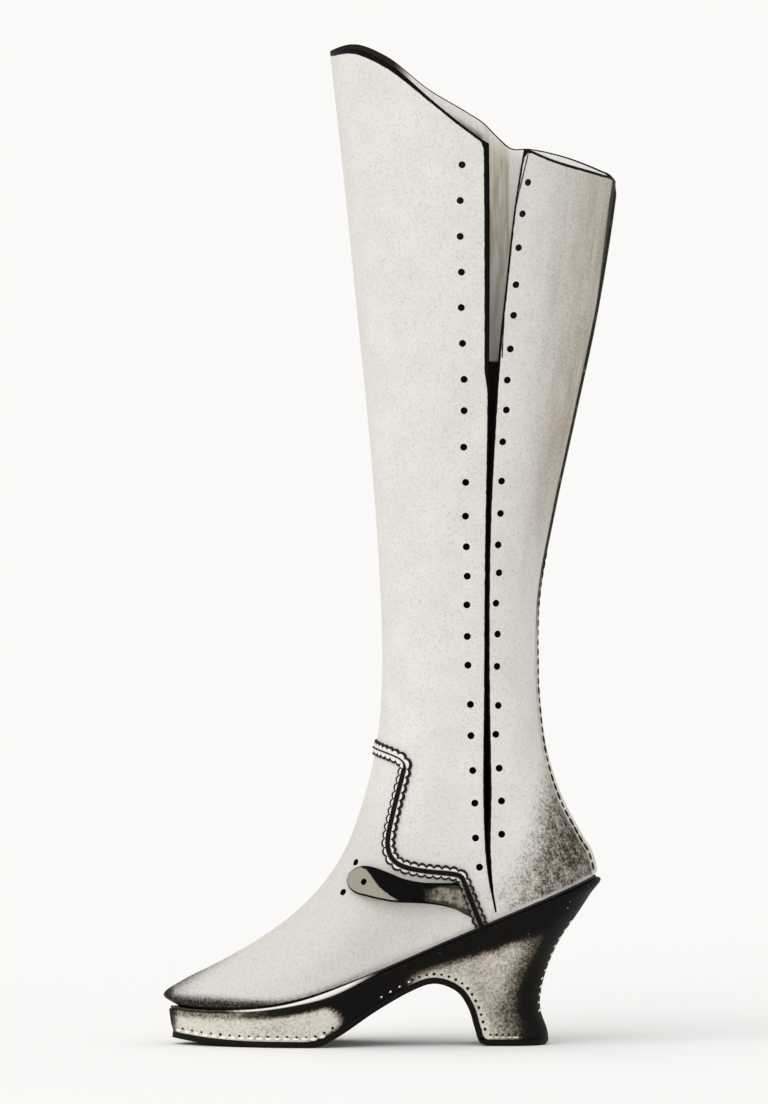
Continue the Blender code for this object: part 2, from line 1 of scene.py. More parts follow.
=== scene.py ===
# %% [markdown]
# # Dressing a tall laced buskin
# A buskin is a boot that reaches up the calf. This one is cut from pale leather, opens down one
# side between two rows of punched holes, and stands on a platform and a heel that are covered in
# one piece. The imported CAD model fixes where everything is. This lesson replaces each plain solid
# with a fine mesh that has rounded edges, thread, holes and painted leather, in the same place.

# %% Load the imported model
import math

import bmesh
import bpy
import numpy as np
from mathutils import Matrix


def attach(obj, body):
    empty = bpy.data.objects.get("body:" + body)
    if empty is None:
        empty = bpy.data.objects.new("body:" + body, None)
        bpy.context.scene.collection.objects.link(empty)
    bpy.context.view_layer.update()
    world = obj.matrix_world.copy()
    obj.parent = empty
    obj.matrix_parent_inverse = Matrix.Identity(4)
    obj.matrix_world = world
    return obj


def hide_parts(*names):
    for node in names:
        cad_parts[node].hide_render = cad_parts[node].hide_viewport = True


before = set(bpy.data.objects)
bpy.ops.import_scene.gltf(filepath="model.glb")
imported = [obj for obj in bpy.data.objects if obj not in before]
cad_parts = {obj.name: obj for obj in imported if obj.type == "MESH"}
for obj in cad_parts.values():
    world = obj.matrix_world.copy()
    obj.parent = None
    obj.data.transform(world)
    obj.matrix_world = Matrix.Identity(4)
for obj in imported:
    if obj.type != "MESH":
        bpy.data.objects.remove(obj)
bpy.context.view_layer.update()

MM = 0.001
print("solids:", ", ".join(sorted(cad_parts)))

# %% [markdown]
# ## Camera, floor and light
# The boot is seen square from its open side, from a little above. A long lens far away keeps the
# two sides of the collar nearly parallel, as a draughtsman shows them. The picture is 1104 pixels
# tall and one pixel is 0.56 mm on the boot, so the distance follows from the lens.

# %% Camera
PICTURE_TALL = 1104
MM_PER_PIXEL = 0.56
LENS_MM = 1000.0
SENSOR_MM = 36.0
LOOK_AT = (-3.6, 0.0, 275.9)
LOOK_DOWN_DEGREES = 2.9


def make_camera():
    """A camera that looks along +Y and a little down."""
    lens = bpy.data.cameras.new("camera")
    lens.lens = LENS_MM
    lens.sensor_width = SENSOR_MM
    lens.clip_end = 1000.0
    camera = bpy.data.objects.new("camera", lens)
    bpy.context.scene.collection.objects.link(camera)
    away = PICTURE_TALL * MM_PER_PIXEL * LENS_MM / SENSOR_MM
    down = math.radians(LOOK_DOWN_DEGREES)
    place = (LOOK_AT[0], LOOK_AT[1] - away * math.cos(down), LOOK_AT[2] + away * math.sin(down))
    camera.location = [MM * c for c in place]
    camera.rotation_euler = (math.pi / 2 - down, 0.0, 0.0)
    bpy.context.scene.camera = camera
    return away


print("camera", round(make_camera() * MM, 2), "m away")

# %% [markdown]
# The floor is one large pale sheet, so its far edge never shows. An even white sky gives soft
# light from everywhere, and a broad sun from the front left models the round leg and lays a faint
# shadow. A sun lights the whole floor alike, where a lamp would leave a bright pool.

# %% Colours and nodes
def srgb(red, green, blue):
    """A colour as read off a screen, 0 to 255, turned into the linear values that shaders use."""
    parts = [c / 255.0 for c in (red, green, blue)]
    return (*(c / 12.92 if c <= 0.04045 else ((c + 0.055) / 1.055) ** 2.4 for c in parts), 1.0)


def feed(tree, socket, value):
    """Link a value that changes over the surface into a socket, or set a plain one there."""
    if isinstance(value, bpy.types.NodeSocket):
        tree.links.new(value, socket)
    else:
        socket.default_value = value


def add(tree, kind, inputs=None, **settings):
    """A node in a tree, its settings made and its inputs set or linked."""
    made = tree.nodes.new(kind)
    for key, value in settings.items():
        setattr(made, key, value)
    for key, value in (inputs or {}).items():
        feed(tree, made.inputs[key], value)
    return made


def finish_material(name):
    """A new material, its tree and its Principled shader."""
    material = bpy.data.materials.new(name)
    material.use_nodes = True
    return material, material.node_tree, material.node_tree.nodes["Principled BSDF"]


print("a screen grey of 128 is", round(srgb(128, 128, 128)[0], 3), "in a shader")

# %% Floor and light
FLOOR_HALF_M = 200.0
SKY_STRENGTH = 0.83
SUN_STRENGTH = 1.15
SUN_TURN_DEGREES = (50.0, 0.0, -42.0)
SUN_SOFTNESS_DEGREES = 60.0
FLOOR_COLOR = (0.900, 0.896, 0.888, 1.0)
SKY_COLOR = (1.0, 0.995, 0.985, 1.0)


def make_stage():
    """Floor, sky and sun."""
    scene = bpy.context.scene
    scene.view_settings.view_transform = "Standard"
    mesh = bpy.data.meshes.new("floor")
    half = FLOOR_HALF_M
    mesh.from_pydata([(-half, -half, 0), (half, -half, 0), (half, half, 0), (-half, half, 0)],
                     [], [(0, 1, 2, 3)])
    floor = bpy.data.objects.new("floor", mesh)
    scene.collection.objects.link(floor)
    material, _, shader = finish_material("pale_floor")
    shader.inputs["Base Color"].default_value = FLOOR_COLOR
    shader.inputs["Roughness"].default_value = 0.9
    shader.inputs["Specular IOR Level"].default_value = 0.0
    mesh.materials.append(material)
    world = bpy.data.worlds.new("even_sky")
    world.use_nodes = True
    sky = world.node_tree.nodes["Background"]
    sky.inputs["Color"].default_value = SKY_COLOR
    sky.inputs["Strength"].default_value = SKY_STRENGTH
    scene.world = world
    lamp = bpy.data.lights.new("broad_sun", "SUN")
    lamp.energy = SUN_STRENGTH
    lamp.angle = math.radians(SUN_SOFTNESS_DEGREES)
    sun = bpy.data.objects.new("broad_sun", lamp)
    sun.rotation_euler = [math.radians(a) for a in SUN_TURN_DEGREES]
    scene.collection.objects.link(sun)


make_stage()
print("floor", 2 * FLOOR_HALF_M, "m across, sky", SKY_STRENGTH, "sun", SUN_STRENGTH)

# %% [markdown]
# ## The form of the boot
# A shoemaker builds on a last, a wooden foot. Here the last is a table: each row is a ring round
# the boot with its front and back ends, its half widths at ball, waist and heel, and how blunt its
# nose is. The solids come from the same rows, so a finer mesh from them fits exactly. A smooth
# curve runs through the rows, and any place on the leather is a level and a turn round its ring.

# %% Smooth curves through tables
HALVINGS = 36


def smooth(knots, values, at):
    """A smooth curve through a table's values, for one place or many."""
    knots = np.asarray(knots, float)
    values = np.asarray(values, float)
    at = np.asarray(at, float)
    slopes = np.gradient(values, knots, axis=0)
    k = np.clip(np.searchsorted(knots, at) - 1, 0, len(knots) - 2)
    step = knots[k + 1] - knots[k]
    t = (at - knots[k]) / step
    if values.ndim > 1:
        t, step = t[..., None], step[..., None]
    start = values[k] * (1 + 2 * t) * (1 - t) ** 2 + slopes[k] * step * t * (1 - t) ** 2
    end = values[k + 1] * t * t * (3 - 2 * t) - slopes[k + 1] * step * t * t * (1 - t)
    return start + end


def mix(a, b, share):
    """The value a given share of the way from a to b."""
    return a + (b - a) * share


def ease(t):
    """A soft step from 0 to 1."""
    t = np.clip(t, 0.0, 1.0)
    return t * t * (3 - 2 * t)


def rise(value, first, last):
    """A soft step from 0 where a value is at its first mark to 1 at its last, upwards or downwards."""
    return ease((value - first) / (last - first))


def close_in(low, high, above):
    """The level between two at which a form gets above its mark, found by halving the span."""
    for _ in range(HALVINGS):
        middle = (low + high) / 2
        over = above(middle)
        low, high = np.where(over, low, middle), np.where(over, middle, high)
    return (low + high) / 2


def unit(vectors):
    """Vectors of length 1."""
    return vectors / np.maximum(np.linalg.norm(vectors, axis=-1, keepdims=True), 1e-12)


print("a soft step is at", ease(0.25), "a quarter of the way")

# %% The last and the sole as rings
# front_x front_z back_x back_z | ball_at ball  waist_at waist  heel_at heel | blunt
UPPER_RINGS = np.array((
    (-118.7, 21.3, 114.2, 95.0, 0.294, 37.5, 0.655, 26.0, 0.870, 28.0, 1.60),
    (-127.1, 28.0, 114.4, 98.5, 0.326, 39.0, 0.681, 27.8, 0.870, 29.0, 1.50),
    (-115.4, 36.4, 113.2, 104.0, 0.302, 38.0, 0.686, 29.5, 0.864, 29.3, 1.60),
    (-97.0, 45.6, 111.0, 109.5, 0.320, 36.8, 0.680, 31.0, 0.856, 29.6, 1.80),
    (-76.0, 57.4, 107.8, 114.5, 0.330, 36.0, 0.670, 32.3, 0.832, 30.0, 1.80),
    (-56.0, 71.6, 103.3, 122.5, 0.349, 35.5, 0.660, 33.5, 0.810, 30.5, 1.80),
    (-38.0, 89.6, 97.3, 133.5, 0.352, 36.0, 0.630, 34.3, 0.790, 31.0, 1.80),
    (-24.0, 112.0, 91.3, 148.0, 0.360, 36.3, 0.618, 35.0, 0.755, 33.0, 1.85),
    (-13.5, 142.5, 86.3, 166.0, 0.390, 36.3, 0.590, 35.7, 0.708, 34.5, 1.90),
    (-6.8, 174.5, 83.1, 188.0, 0.426, 36.0, 0.536, 35.8, 0.624, 35.5, 2.00),
    (-4.5, 211.4, 81.7, 211.4, 0.460, 36.0, 0.500, 36.0, 0.550, 36.0, 2.00),
    (-5.6, 253.0, 82.8, 253.0, 0.480, 37.5, 0.500, 37.5, 0.520, 37.5, 2.00),
    (-8.4, 300.0, 91.3, 300.0, 0.480, 41.0, 0.500, 41.0, 0.520, 41.0, 2.00),
    (-13.0, 354.0, 103.0, 354.0, 0.480, 47.0, 0.500, 47.0, 0.520, 47.0, 2.00),
    (-19.0, 414.0, 115.6, 414.0, 0.480, 54.0, 0.500, 54.0, 0.520, 54.0, 2.00),
    (-26.0, 484.0, 126.2, 484.0, 0.480, 60.5, 0.500, 60.5, 0.520, 60.5, 2.00),
    (-34.5, 562.0, 133.0, 562.0, 0.480, 64.0, 0.500, 64.0, 0.520, 64.0, 2.00),
))
ANKLE_LEVEL = 10

SOLE_RINGS = np.array((
    (-120.8, 0.0, 88.6, 0.0, 0.348, 37.5, 0.720, 20.0, 0.905, 21.0, 1.60),
    (-121.8, 7.5, 87.9, 8.0, 0.352, 38.0, 0.720, 19.5, 0.905, 19.8, 1.60),
    (-122.8, 11.0, 83.9, 21.0, 0.360, 38.4, 0.730, 19.0, 0.910, 18.5, 1.60),
    (-123.2, 13.2, 86.0, 37.0, 0.358, 38.8, 0.725, 21.5, 0.905, 20.5, 1.60),
    (-123.5, 15.4, 94.0, 57.0, 0.345, 39.1, 0.700, 24.5, 0.895, 24.0, 1.55),
    (-123.8, 17.5, 106.0, 75.0, 0.330, 39.3, 0.665, 27.0, 0.890, 28.0, 1.55),
    (-124.0, 19.9, 118.2, 93.9, 0.316, 39.5, 0.640, 28.5, 0.890, 31.0, 1.50),
))

print("rings:", len(UPPER_RINGS), "for the upper,", len(SOLE_RINGS), "for the sole")

# %% Any place on the rings
FEATHER_LEVEL = 20.2
FEATHER_SLOPE = 0.431
FEATHER_BEND_X = -59.2
FEATHER_SOFTNESS = 13.7
TOE_SPRING_X = -100.0
TOE_SPRING = 0.003


def feather(x):
    """Height of the line on which upper and sole meet."""
    bend = FEATHER_SOFTNESS * np.logaddexp(0.0, (x - FEATHER_BEND_X) / FEATHER_SOFTNESS)
    return FEATHER_LEVEL + FEATHER_SLOPE * bend + TOE_SPRING * np.minimum(x - TOE_SPRING_X, 0) ** 2


def ring_at(rings, level):
    """The table's row at any level between its rows."""
    return smooth(np.arange(len(rings)), rings, level)


def half_width(ring, share):
    """Half width of a ring, a share of the way from its front to its back."""
    ball_at, ball, waist_at, waist, heel_at, heel, blunt = np.moveaxis(ring[..., 4:], -1, 0)
    nose = (1 - np.maximum(0.0, 1 - share / ball_at) ** blunt) ** (1 / blunt)
    back = np.sqrt(1 - np.maximum(0.0, 1 - (1 - share) / (1 - heel_at)) ** 2)
    side = mix(ball, waist, rise(share, ball_at, waist_at))
    side = side + (heel - waist) * rise(share, waist_at, heel_at)
    return side * nose * back


def ring_height(ring, share):
    """Height of a ring: straight from front to back, bowed as the feather line is."""
    front_x, front_z, back_x, back_z = np.moveaxis(ring[..., :4], -1, 0)
    bow = feather(mix(front_x, back_x, share)) - mix(feather(front_x), feather(back_x), share)
    return mix(front_z, back_z, share) + bow


def share_at(ring, x):
    """How far along a ring x lies."""
    return np.clip((x - ring[..., 0]) / (ring[..., 2] - ring[..., 0]), 0.0, 1.0)


def level_at(rings, x, z):
    """The level of the ring that passes through a place in the side view."""
    x, z = np.broadcast_arrays(np.asarray(x, float), np.asarray(z, float))

    def above(level):
        ring = ring_at(rings, level)
        return ring_height(ring, share_at(ring, x)) > z

    return close_in(np.zeros(x.shape), np.full(x.shape, len(rings) - 1.0), above)


def width_at(rings, x, z):
    """Half width of a form at a place in its side view."""
    ring = ring_at(rings, level_at(rings, x, z))
    return half_width(ring, share_at(ring, x))


print("half width of the sole at x -60, z 10:", round(float(width_at(SOLE_RINGS, -60.0, 10.0)), 1), "mm")

# %% [markdown]
# The opening runs from the collar nearly to the sole. Two edges are given by height, and the rear
# one curls outwards near the top, where the leather has lost its shape. The collar is a line in the
# side view. Turn 0 is the front of the leg, and half a turn is the back seam.

# %% Opening and collar
SLIT_Z = (60.0, 76.0, 90.0, 110.0, 139.0, 190.0, 230.0, 300.0, 341.0, 381.0, 432.0, 472.0, 520.0)
SLIT_FRONT_X = (60.2, 58.4, 55.7, 53.5, 52.4, 52.7, 52.9, 53.6, 54.4, 54.6, 54.6, 54.4, 54.0)
SLIT_REAR_X = (61.2, 59.4, 57.2, 55.6, 56.0, 55.2, 54.9, 56.0, 58.0, 60.5, 65.4, 69.8, 77.6)
COLLAR_X = (-36.0, -22.0, -4.0, 24.6, 43.0, 54.0, 75.0, 89.0, 119.0, 123.5, 126.2, 134.0)
COLLAR_Z = (555.5, 558.5, 551.8, 528.9, 514.4, 506.8, 504.0, 497.9, 487.8, 486.0, 483.2, 470.0)
FAR_COLLAR_X = (-36.0, -22.0, -4.0, 21.0, 43.0, 52.0, 60.0, 67.0, 78.0, 95.0, 119.0, 123.5, 126.2, 134.0)
FAR_COLLAR_Z = (555.5, 558.5, 551.8, 532.4, 519.4, 513.6, 505.6, 499.6, 499.0, 495.8, 487.8, 486.0, 483.2,
                470.0)
FLARE = 5.0
FLARE_FROM_Z = 375.0
FLARE_TO_Z = 500.0
FLARE_REACH = 15.0
CURL = 1.8
CURL_REACH = 2.6


def slit_front(z):
    """Front edge of the opening."""
    return smooth(SLIT_Z, SLIT_FRONT_X, z)


def slit_rear(z):
    """Rear edge of the opening."""
    return smooth(SLIT_Z, SLIT_REAR_X, z)


def collar(x, far=False):
    """Height of the collar; without an opening in it the far side has kept more height."""
    return np.where(far, smooth(FAR_COLLAR_X, FAR_COLLAR_Z, x), smooth(COLLAR_X, COLLAR_Z, x))


def flare(x, z):
    """How far the rear edge of the opening curls outwards."""
    behind = np.maximum(x - slit_rear(z), 0.0)
    curl = CURL * np.exp(-behind / CURL_REACH)
    spread = FLARE * np.exp(-(behind / FLARE_REACH) ** 2)
    return rise(z, FLARE_FROM_Z, FLARE_TO_Z) * (spread + curl)


print("opening at z 472:", round(float(slit_rear(472.0) - slit_front(472.0)), 1), "mm wide")

# %% The skin of the upper
NUDGE = 0.002


def skin(turn, level):
    """A point on the outside of the upper; a turn past half is on the closed side."""
    ring = ring_at(UPPER_RINGS, level)
    share = (1 - np.cos(turn)) / 2
    x = mix(ring[..., 0], ring[..., 2], share)
    z = ring_height(ring, share)
    y = half_width(ring, share)
    open_side = np.sin(turn) > 0
    y = y + np.where(open_side & (x > slit_front(z) + 0.1), flare(x, z), 0.0)
    return np.stack((x, np.where(open_side, -y, y), z), axis=-1)


def skin_frame(turn, level):
    """A point on the upper, how it moves with turn and with level, and the way out there."""
    by_turn = (skin(turn + NUDGE, level) - skin(turn - NUDGE, level)) / (2 * NUDGE)
    by_level = (skin(turn, level + NUDGE) - skin(turn, level - NUDGE)) / (2 * NUDGE)
    return skin(turn, level), by_turn, by_level, unit(np.cross(by_turn, by_level))


def place_on_side(x, z):
    """Turn and level of a place in the side view, on the open side."""
    level = level_at(UPPER_RINGS, x, z)
    share = share_at(ring_at(UPPER_RINGS, level), x)
    return np.arccos(1 - 2 * share), level


middle_of_leg = skin(*place_on_side(30.0, 300.0))
print("leather at x 30, z 300 lies at y", round(float(middle_of_leg[1]), 1), "mm")

# %% [markdown]
# ## Tools that every piece uses
# Meshes are made from arrays of points in millimetres and lists of faces. A modifier's result is
# turned into a plain mesh at once, so each finished piece is simple data at the origin. A piece
# then rides on the boot's one body and takes the place of its solid.

# %% Meshes from points
def net_faces(rows, columns):
    """Square faces of a net of points, row after row, its last column joined to its first."""
    row, column = np.meshgrid(np.arange(rows - 1), np.arange(columns), indexing="ij")
    right = (column + 1) % columns
    corners = (row * columns + column, row * columns + right,
               (row + 1) * columns + right, (row + 1) * columns + column)
    return np.stack(corners, axis=-1).reshape(-1, 4).tolist()


def rework(mesh, change):
    """Open a mesh for editing, change it and write it back."""
    work = bmesh.new()
    work.from_mesh(mesh)
    change(work)
    work.to_mesh(mesh)
    work.free()


def new_object(name, points, faces, materials=(), which=None):
    """An object from points in millimetres, with smooth faces that point outwards."""
    mesh = bpy.data.meshes.new(name)
    mesh.from_pydata((np.asarray(points, float) * MM).tolist(), [], faces)
    for material in materials:
        mesh.materials.append(material)
    if which is not None:
        mesh.polygons.foreach_set("material_index", which)
    rework(mesh, lambda work: bmesh.ops.recalc_face_normals(work, faces=work.faces))
    mesh.polygons.foreach_set("use_smooth", [True] * len(mesh.polygons))
    piece = bpy.data.objects.new(name, mesh)
    bpy.context.scene.collection.objects.link(piece)
    return piece


print("a net of 3 rows and 4 columns has", len(net_faces(3, 4)), "faces")

# %% Modifiers, marks and handing over
SLIVER_MM = 0.02
BEVEL_FROM_DEGREES = 40.0


def drop_slivers(work):
    """Merge doubled points, and take out faces without area and corners that only split an edge."""
    bmesh.ops.remove_doubles(work, verts=work.verts, dist=SLIVER_MM * MM)
    bmesh.ops.dissolve_degenerate(work, edges=work.edges, dist=SLIVER_MM * MM)
    bmesh.ops.dissolve_verts(work, verts=[spot for spot in work.verts if len(spot.link_edges) == 2])


def settle(piece):
    """Turn a piece and its modifiers into one plain mesh without slivers."""
    graph = bpy.context.evaluated_depsgraph_get()
    made = bpy.data.meshes.new_from_object(piece.evaluated_get(graph))
    made.name = piece.name
    piece.modifiers.clear()
    rework(made, drop_slivers)
    piece.data = made
    return piece


def cut(piece, tool):
    """Cut a tool's shape out of a piece and throw the tool away."""
    step = piece.modifiers.new("cut", "BOOLEAN")
    step.operation = "DIFFERENCE"
    step.solver = "EXACT"
    step.material_mode = "TRANSFER"
    step.object = tool
    settle(piece)
    bpy.data.objects.remove(tool, do_unlink=True)
    return piece


def round_edges(piece, width):
    """Take the sharpness off a piece's edges."""
    step = piece.modifiers.new("edges", "BEVEL")
    step.width = width * MM
    step.segments = 2
    step.limit_method = "ANGLE"
    step.angle_limit = math.radians(BEVEL_FROM_DEGREES)
    step.harden_normals = False
    return settle(piece)


def sharpen(piece, degrees=50.0):
    """Keep true corners sharp in the shading."""
    piece.data.set_sharp_from_angle(angle=math.radians(degrees))


def places(piece):
    """A piece's points in millimetres."""
    spots = np.empty(len(piece.data.vertices) * 3, np.float32)
    piece.data.vertices.foreach_get("co", spots)
    return spots.reshape(-1, 3).astype(float) / MM


def mark(piece, name, values):
    """Store one number for each point of a piece, for its material to read."""
    layer = piece.data.attributes.new(name, "FLOAT", "POINT")
    layer.data.foreach_set("value", np.asarray(values, np.float32).ravel())


def hand_over(piece, slot, *nodes):
    """Let a finished piece ride on the boot, and replace the solids that it stands for."""
    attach(piece, "root")
    if nodes:
        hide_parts(*nodes)
    print(piece.name, len(piece.data.polygons), "faces")


print("points closer than", SLIVER_MM, "mm are merged")

# %% [markdown]
# ## Shared finishes
# Three effects come back on many pieces, so each is a shader node group. Leather grain gives the
# height of fine pores and a soft mottle. A darkening wash lets a darker tone through a speckled
# mask, as a dry brush or a dirty hand leaves it; it serves for dirt in some places and for painted
# shade in others. An inked line blackens leather up to a distance from an edge that the mesh
# carries, with a slightly unsteady border; it serves for ink on edges and also for painted shade.

# %% Groups, sums and blends
def new_group(name, inputs, outputs):
    """An empty shader group with named sockets; an input is a number or a colour."""
    group = bpy.data.node_groups.new(name, "ShaderNodeTree")
    for label, value in inputs.items():
        kind = "NodeSocketColor" if isinstance(value, tuple) else "NodeSocketFloat"
        socket = group.interface.new_socket(label, in_out="INPUT", socket_type=kind)
        socket.default_value = value
    for label, kind in outputs.items():
        group.interface.new_socket(label, in_out="OUTPUT", socket_type=kind)
    return group, group.nodes.new("NodeGroupInput"), group.nodes.new("NodeGroupOutput")


def use(tree, group, inputs):
    """A group placed in a material with its own values."""
    return add(tree, "ShaderNodeGroup", inputs, node_tree=group)


def math_node(tree, how, first, second=0.0, third=0.0, clamp=False):
    """The result of one sum."""
    return add(tree, "ShaderNodeMath", {0: first, 1: second, 2: third},
               operation=how, use_clamp=clamp).outputs[0]


def blend(tree, factor, low, high):
    """One colour mixed into another."""
    made = add(tree, "ShaderNodeMix", data_type="RGBA")
    for name, value in (("Factor_Float", factor), ("A_Color", low), ("B_Color", high)):
        feed(tree, next(s for s in made.inputs if s.identifier == name), value)
    return next(s for s in made.outputs if s.identifier == "Result_Color")


def ramp(tree, value, low, high, out_low=0.0, out_high=1.0):
    """A soft step of a value between two limits."""
    return add(tree, "ShaderNodeMapRange", {
        "Value": value, "From Min": low, "From Max": high, "To Min": out_low, "To Max": out_high,
    }, interpolation_type="SMOOTHSTEP").outputs["Result"]


def weigh(tree, first, share, second, rest):
    """Two values added, each by its own share."""
    return math_node(tree, "MULTIPLY_ADD", first, share, math_node(tree, "MULTIPLY", second, rest))


def swing(tree, tone, reach):
    """A tone around one half made into a swing to both sides of nothing."""
    return math_node(tree, "MULTIPLY", math_node(tree, "SUBTRACT", tone, 0.5), reach)


# %% Patterns on a piece and leather grain
def own_place(tree):
    """Each point's place on its piece, in metres."""
    return add(tree, "ShaderNodeTexCoord").outputs["Object"]


def noise(tree, scale, detail, roughness=0.5, upright=1.0):
    """Soft random tones around one half; a small upright draws them out into streaks up the boot."""
    spot = own_place(tree)
    if upright != 1.0:
        spot = add(tree, "ShaderNodeMapping", {
            "Vector": spot, "Scale": (1.0, 1.0, upright)}).outputs["Vector"]
    return add(tree, "ShaderNodeTexNoise", {
        "Vector": spot, "Scale": scale, "Detail": detail, "Roughness": roughness}).outputs["Fac"]


def make_grain():
    """Pores and mottle of leather, in the piece's own coordinates."""
    group, given, result = new_group(
        "leather_grain", {"Pores": 900.0, "Mottle": 55.0},
        {"Height": "NodeSocketFloat", "Tone": "NodeSocketFloat"})
    pores = add(group, "ShaderNodeTexVoronoi", {
        "Vector": own_place(group), "Scale": given.outputs["Pores"]},
        feature="SMOOTH_F1").outputs["Distance"]
    fine = noise(group, math_node(group, "MULTIPLY", given.outputs["Pores"], 2.3), 3.0)
    broad = noise(group, given.outputs["Mottle"], 5.0, 0.62)
    group.links.new(weigh(group, fine, 0.45, pores, 0.7), result.inputs["Height"])
    group.links.new(weigh(group, fine, 0.35, broad, 0.65), result.inputs["Tone"])
    return group


GRAIN = make_grain()
print("group:", GRAIN.name)

# %% Darkening wash for dirt and painted shade, and inked line
def make_soil_and_shade():
    """A darker tone that shows through a speckled mask; Amount 0 is clean, 1 is covered."""
    group, given, result = new_group(
        "soil_and_shade_wash", {"Clean": (0.8, 0.8, 0.8, 1.0), "Darker_Tone": (0.1, 0.1, 0.1, 1.0),
                      "Amount": 0.0, "Speck": 420.0, "Softness": 0.22},
        {"Color": "NodeSocketColor"})
    amount, softness = given.outputs["Amount"], given.outputs["Softness"]
    middle = math_node(group, "MULTIPLY_ADD", amount, -0.8, 0.9)
    mask = ramp(group, noise(group, given.outputs["Speck"], 4.0, 0.7),
                math_node(group, "SUBTRACT", middle, softness),
                math_node(group, "ADD", middle, softness))
    mask = math_node(group, "MULTIPLY", mask, ramp(group, amount, 0.0, 0.12))
    group.links.new(blend(group, mask, given.outputs["Clean"], given.outputs["Darker_Tone"]),
                    result.inputs["Color"])
    return group


def make_ink_and_shade():
    """Black on the leather up to a distance in millimetres from an edge."""
    group, given, result = new_group(
        "ink_and_shade_line", {"Distance": 99.0, "Width": 2.0, "Unsteady": 0.5},
        {"Mask": "NodeSocketFloat"})
    shake = swing(group, noise(group, 260.0, 2.0), given.outputs["Unsteady"])
    reach = math_node(group, "ADD", given.outputs["Width"], shake)
    beyond = math_node(group, "SUBTRACT", given.outputs["Distance"], reach)
    group.links.new(ramp(group, beyond, -0.18, 0.18, 1.0, 0.0), result.inputs["Mask"])
    return group


def add_soil_and_shade(tree, clean, dark_tone, amount, speck, softness):
    """A darker tone on a clean colour, dirt in some places and painted shade in others; the values are
    those of the darkening group.
    """
    return use(tree, SOIL_AND_SHADE, {"Clean": clean, "Darker_Tone": dark_tone, "Amount": amount, "Speck": speck,
                            "Softness": softness}).outputs["Color"]


def ink_and_shade_mask(tree, distance, width, unsteady):
    """Where a black line lies, ink on some edges and painted shade on others; the values are those of the
    line group.
    """
    return use(tree, INK_AND_SHADE, {"Distance": distance, "Width": width,
                           "Unsteady": unsteady}).outputs["Mask"]


SOIL_AND_SHADE = make_soil_and_shade()
INK_AND_SHADE = make_ink_and_shade()
# The black of ink, used also for painted shade on the latchet, the rand and beside the opening.
INK_AND_SHADE_BLACK = srgb(7, 6, 6)
print("groups:", SOIL_AND_SHADE.name, INK_AND_SHADE.name)

# %% Finishing helper for leathers
def attribute(tree, name):
    """A number that the mesh carries."""
    return add(tree, "ShaderNodeAttribute", attribute_name=name).outputs["Fac"]


def dye(tree, color):
    """Give a finish its colour."""
    tree.links.new(color, tree.nodes["Principled BSDF"].inputs["Base Color"])


def tint(tree, color, tone, spread):
    """A colour made a little lighter and darker by a tone around one half."""
    dark = tuple(c * (1 - spread) for c in color[:3]) + (1.0,)
    light = tuple(min(c * (1 + spread), 1.0) for c in color[:3]) + (1.0,)
    return blend(tree, ramp(tree, tone, 0.30, 0.70), dark, light)


def leather(name, color, pores=900.0, spread=0.05, roughness=(0.5, 0.68), gloss=0.3, depth=0.12):
    """A plain grained leather; returns what a richer finish needs to go on from."""
    material, tree, shader = finish_material(name)
    grain = use(tree, GRAIN, {"Pores": pores, "Mottle": 55.0})
    shade = tint(tree, color, grain.outputs["Tone"], spread)
    dye(tree, shade)
    feed(tree, shader.inputs["Roughness"], ramp(tree, grain.outputs["Tone"], 0.25, 0.75, *roughness))
    shader.inputs["Specular IOR Level"].default_value = gloss
    bump = add(tree, "ShaderNodeBump", {
        "Height": grain.outputs["Height"], "Strength": 0.5, "Distance": depth * MM})
    tree.links.new(bump.outputs["Normal"], shader.inputs["Normal"])
    return material, tree, shade


# %% [markdown]
# ## Upper leather
# The upper is pale leather with a fine matt grain. Four marks lie on it, part dirt and ink and part
# painted shade: soft upright grey streaks at the back of the calf, which darken towards the back
# edge as painted shade; specks over a grey at the heel, dirt mixed with painted shade; black along
# the toe and the back seam, painted shade on those contours with scuffing at the foot of the toe;
# and an inked border at the collar and the front edge of the opening, widened by painted shade where
# the opening and the inside of the collar fall dark. The mesh carries how strong each is, and the
# shader breaks them up.

# %% Upper leather finish
PALE = srgb(218, 215, 211)
VAMP_PALE = srgb(203, 201, 195)
# The calf grey also paints shade at the back of the calf, the heel grey is dirt mixed with painted shade
# at the heel, and the scuff black is mostly painted shade along the toe's contours and the back seam, with
# scuffing at the foot of the toe.
CALF_GREY = srgb(153, 143, 126)
HEEL_GREY = srgb(58, 47, 30)
SCUFF_AND_SHADE_BLACK = srgb(29, 22, 13)


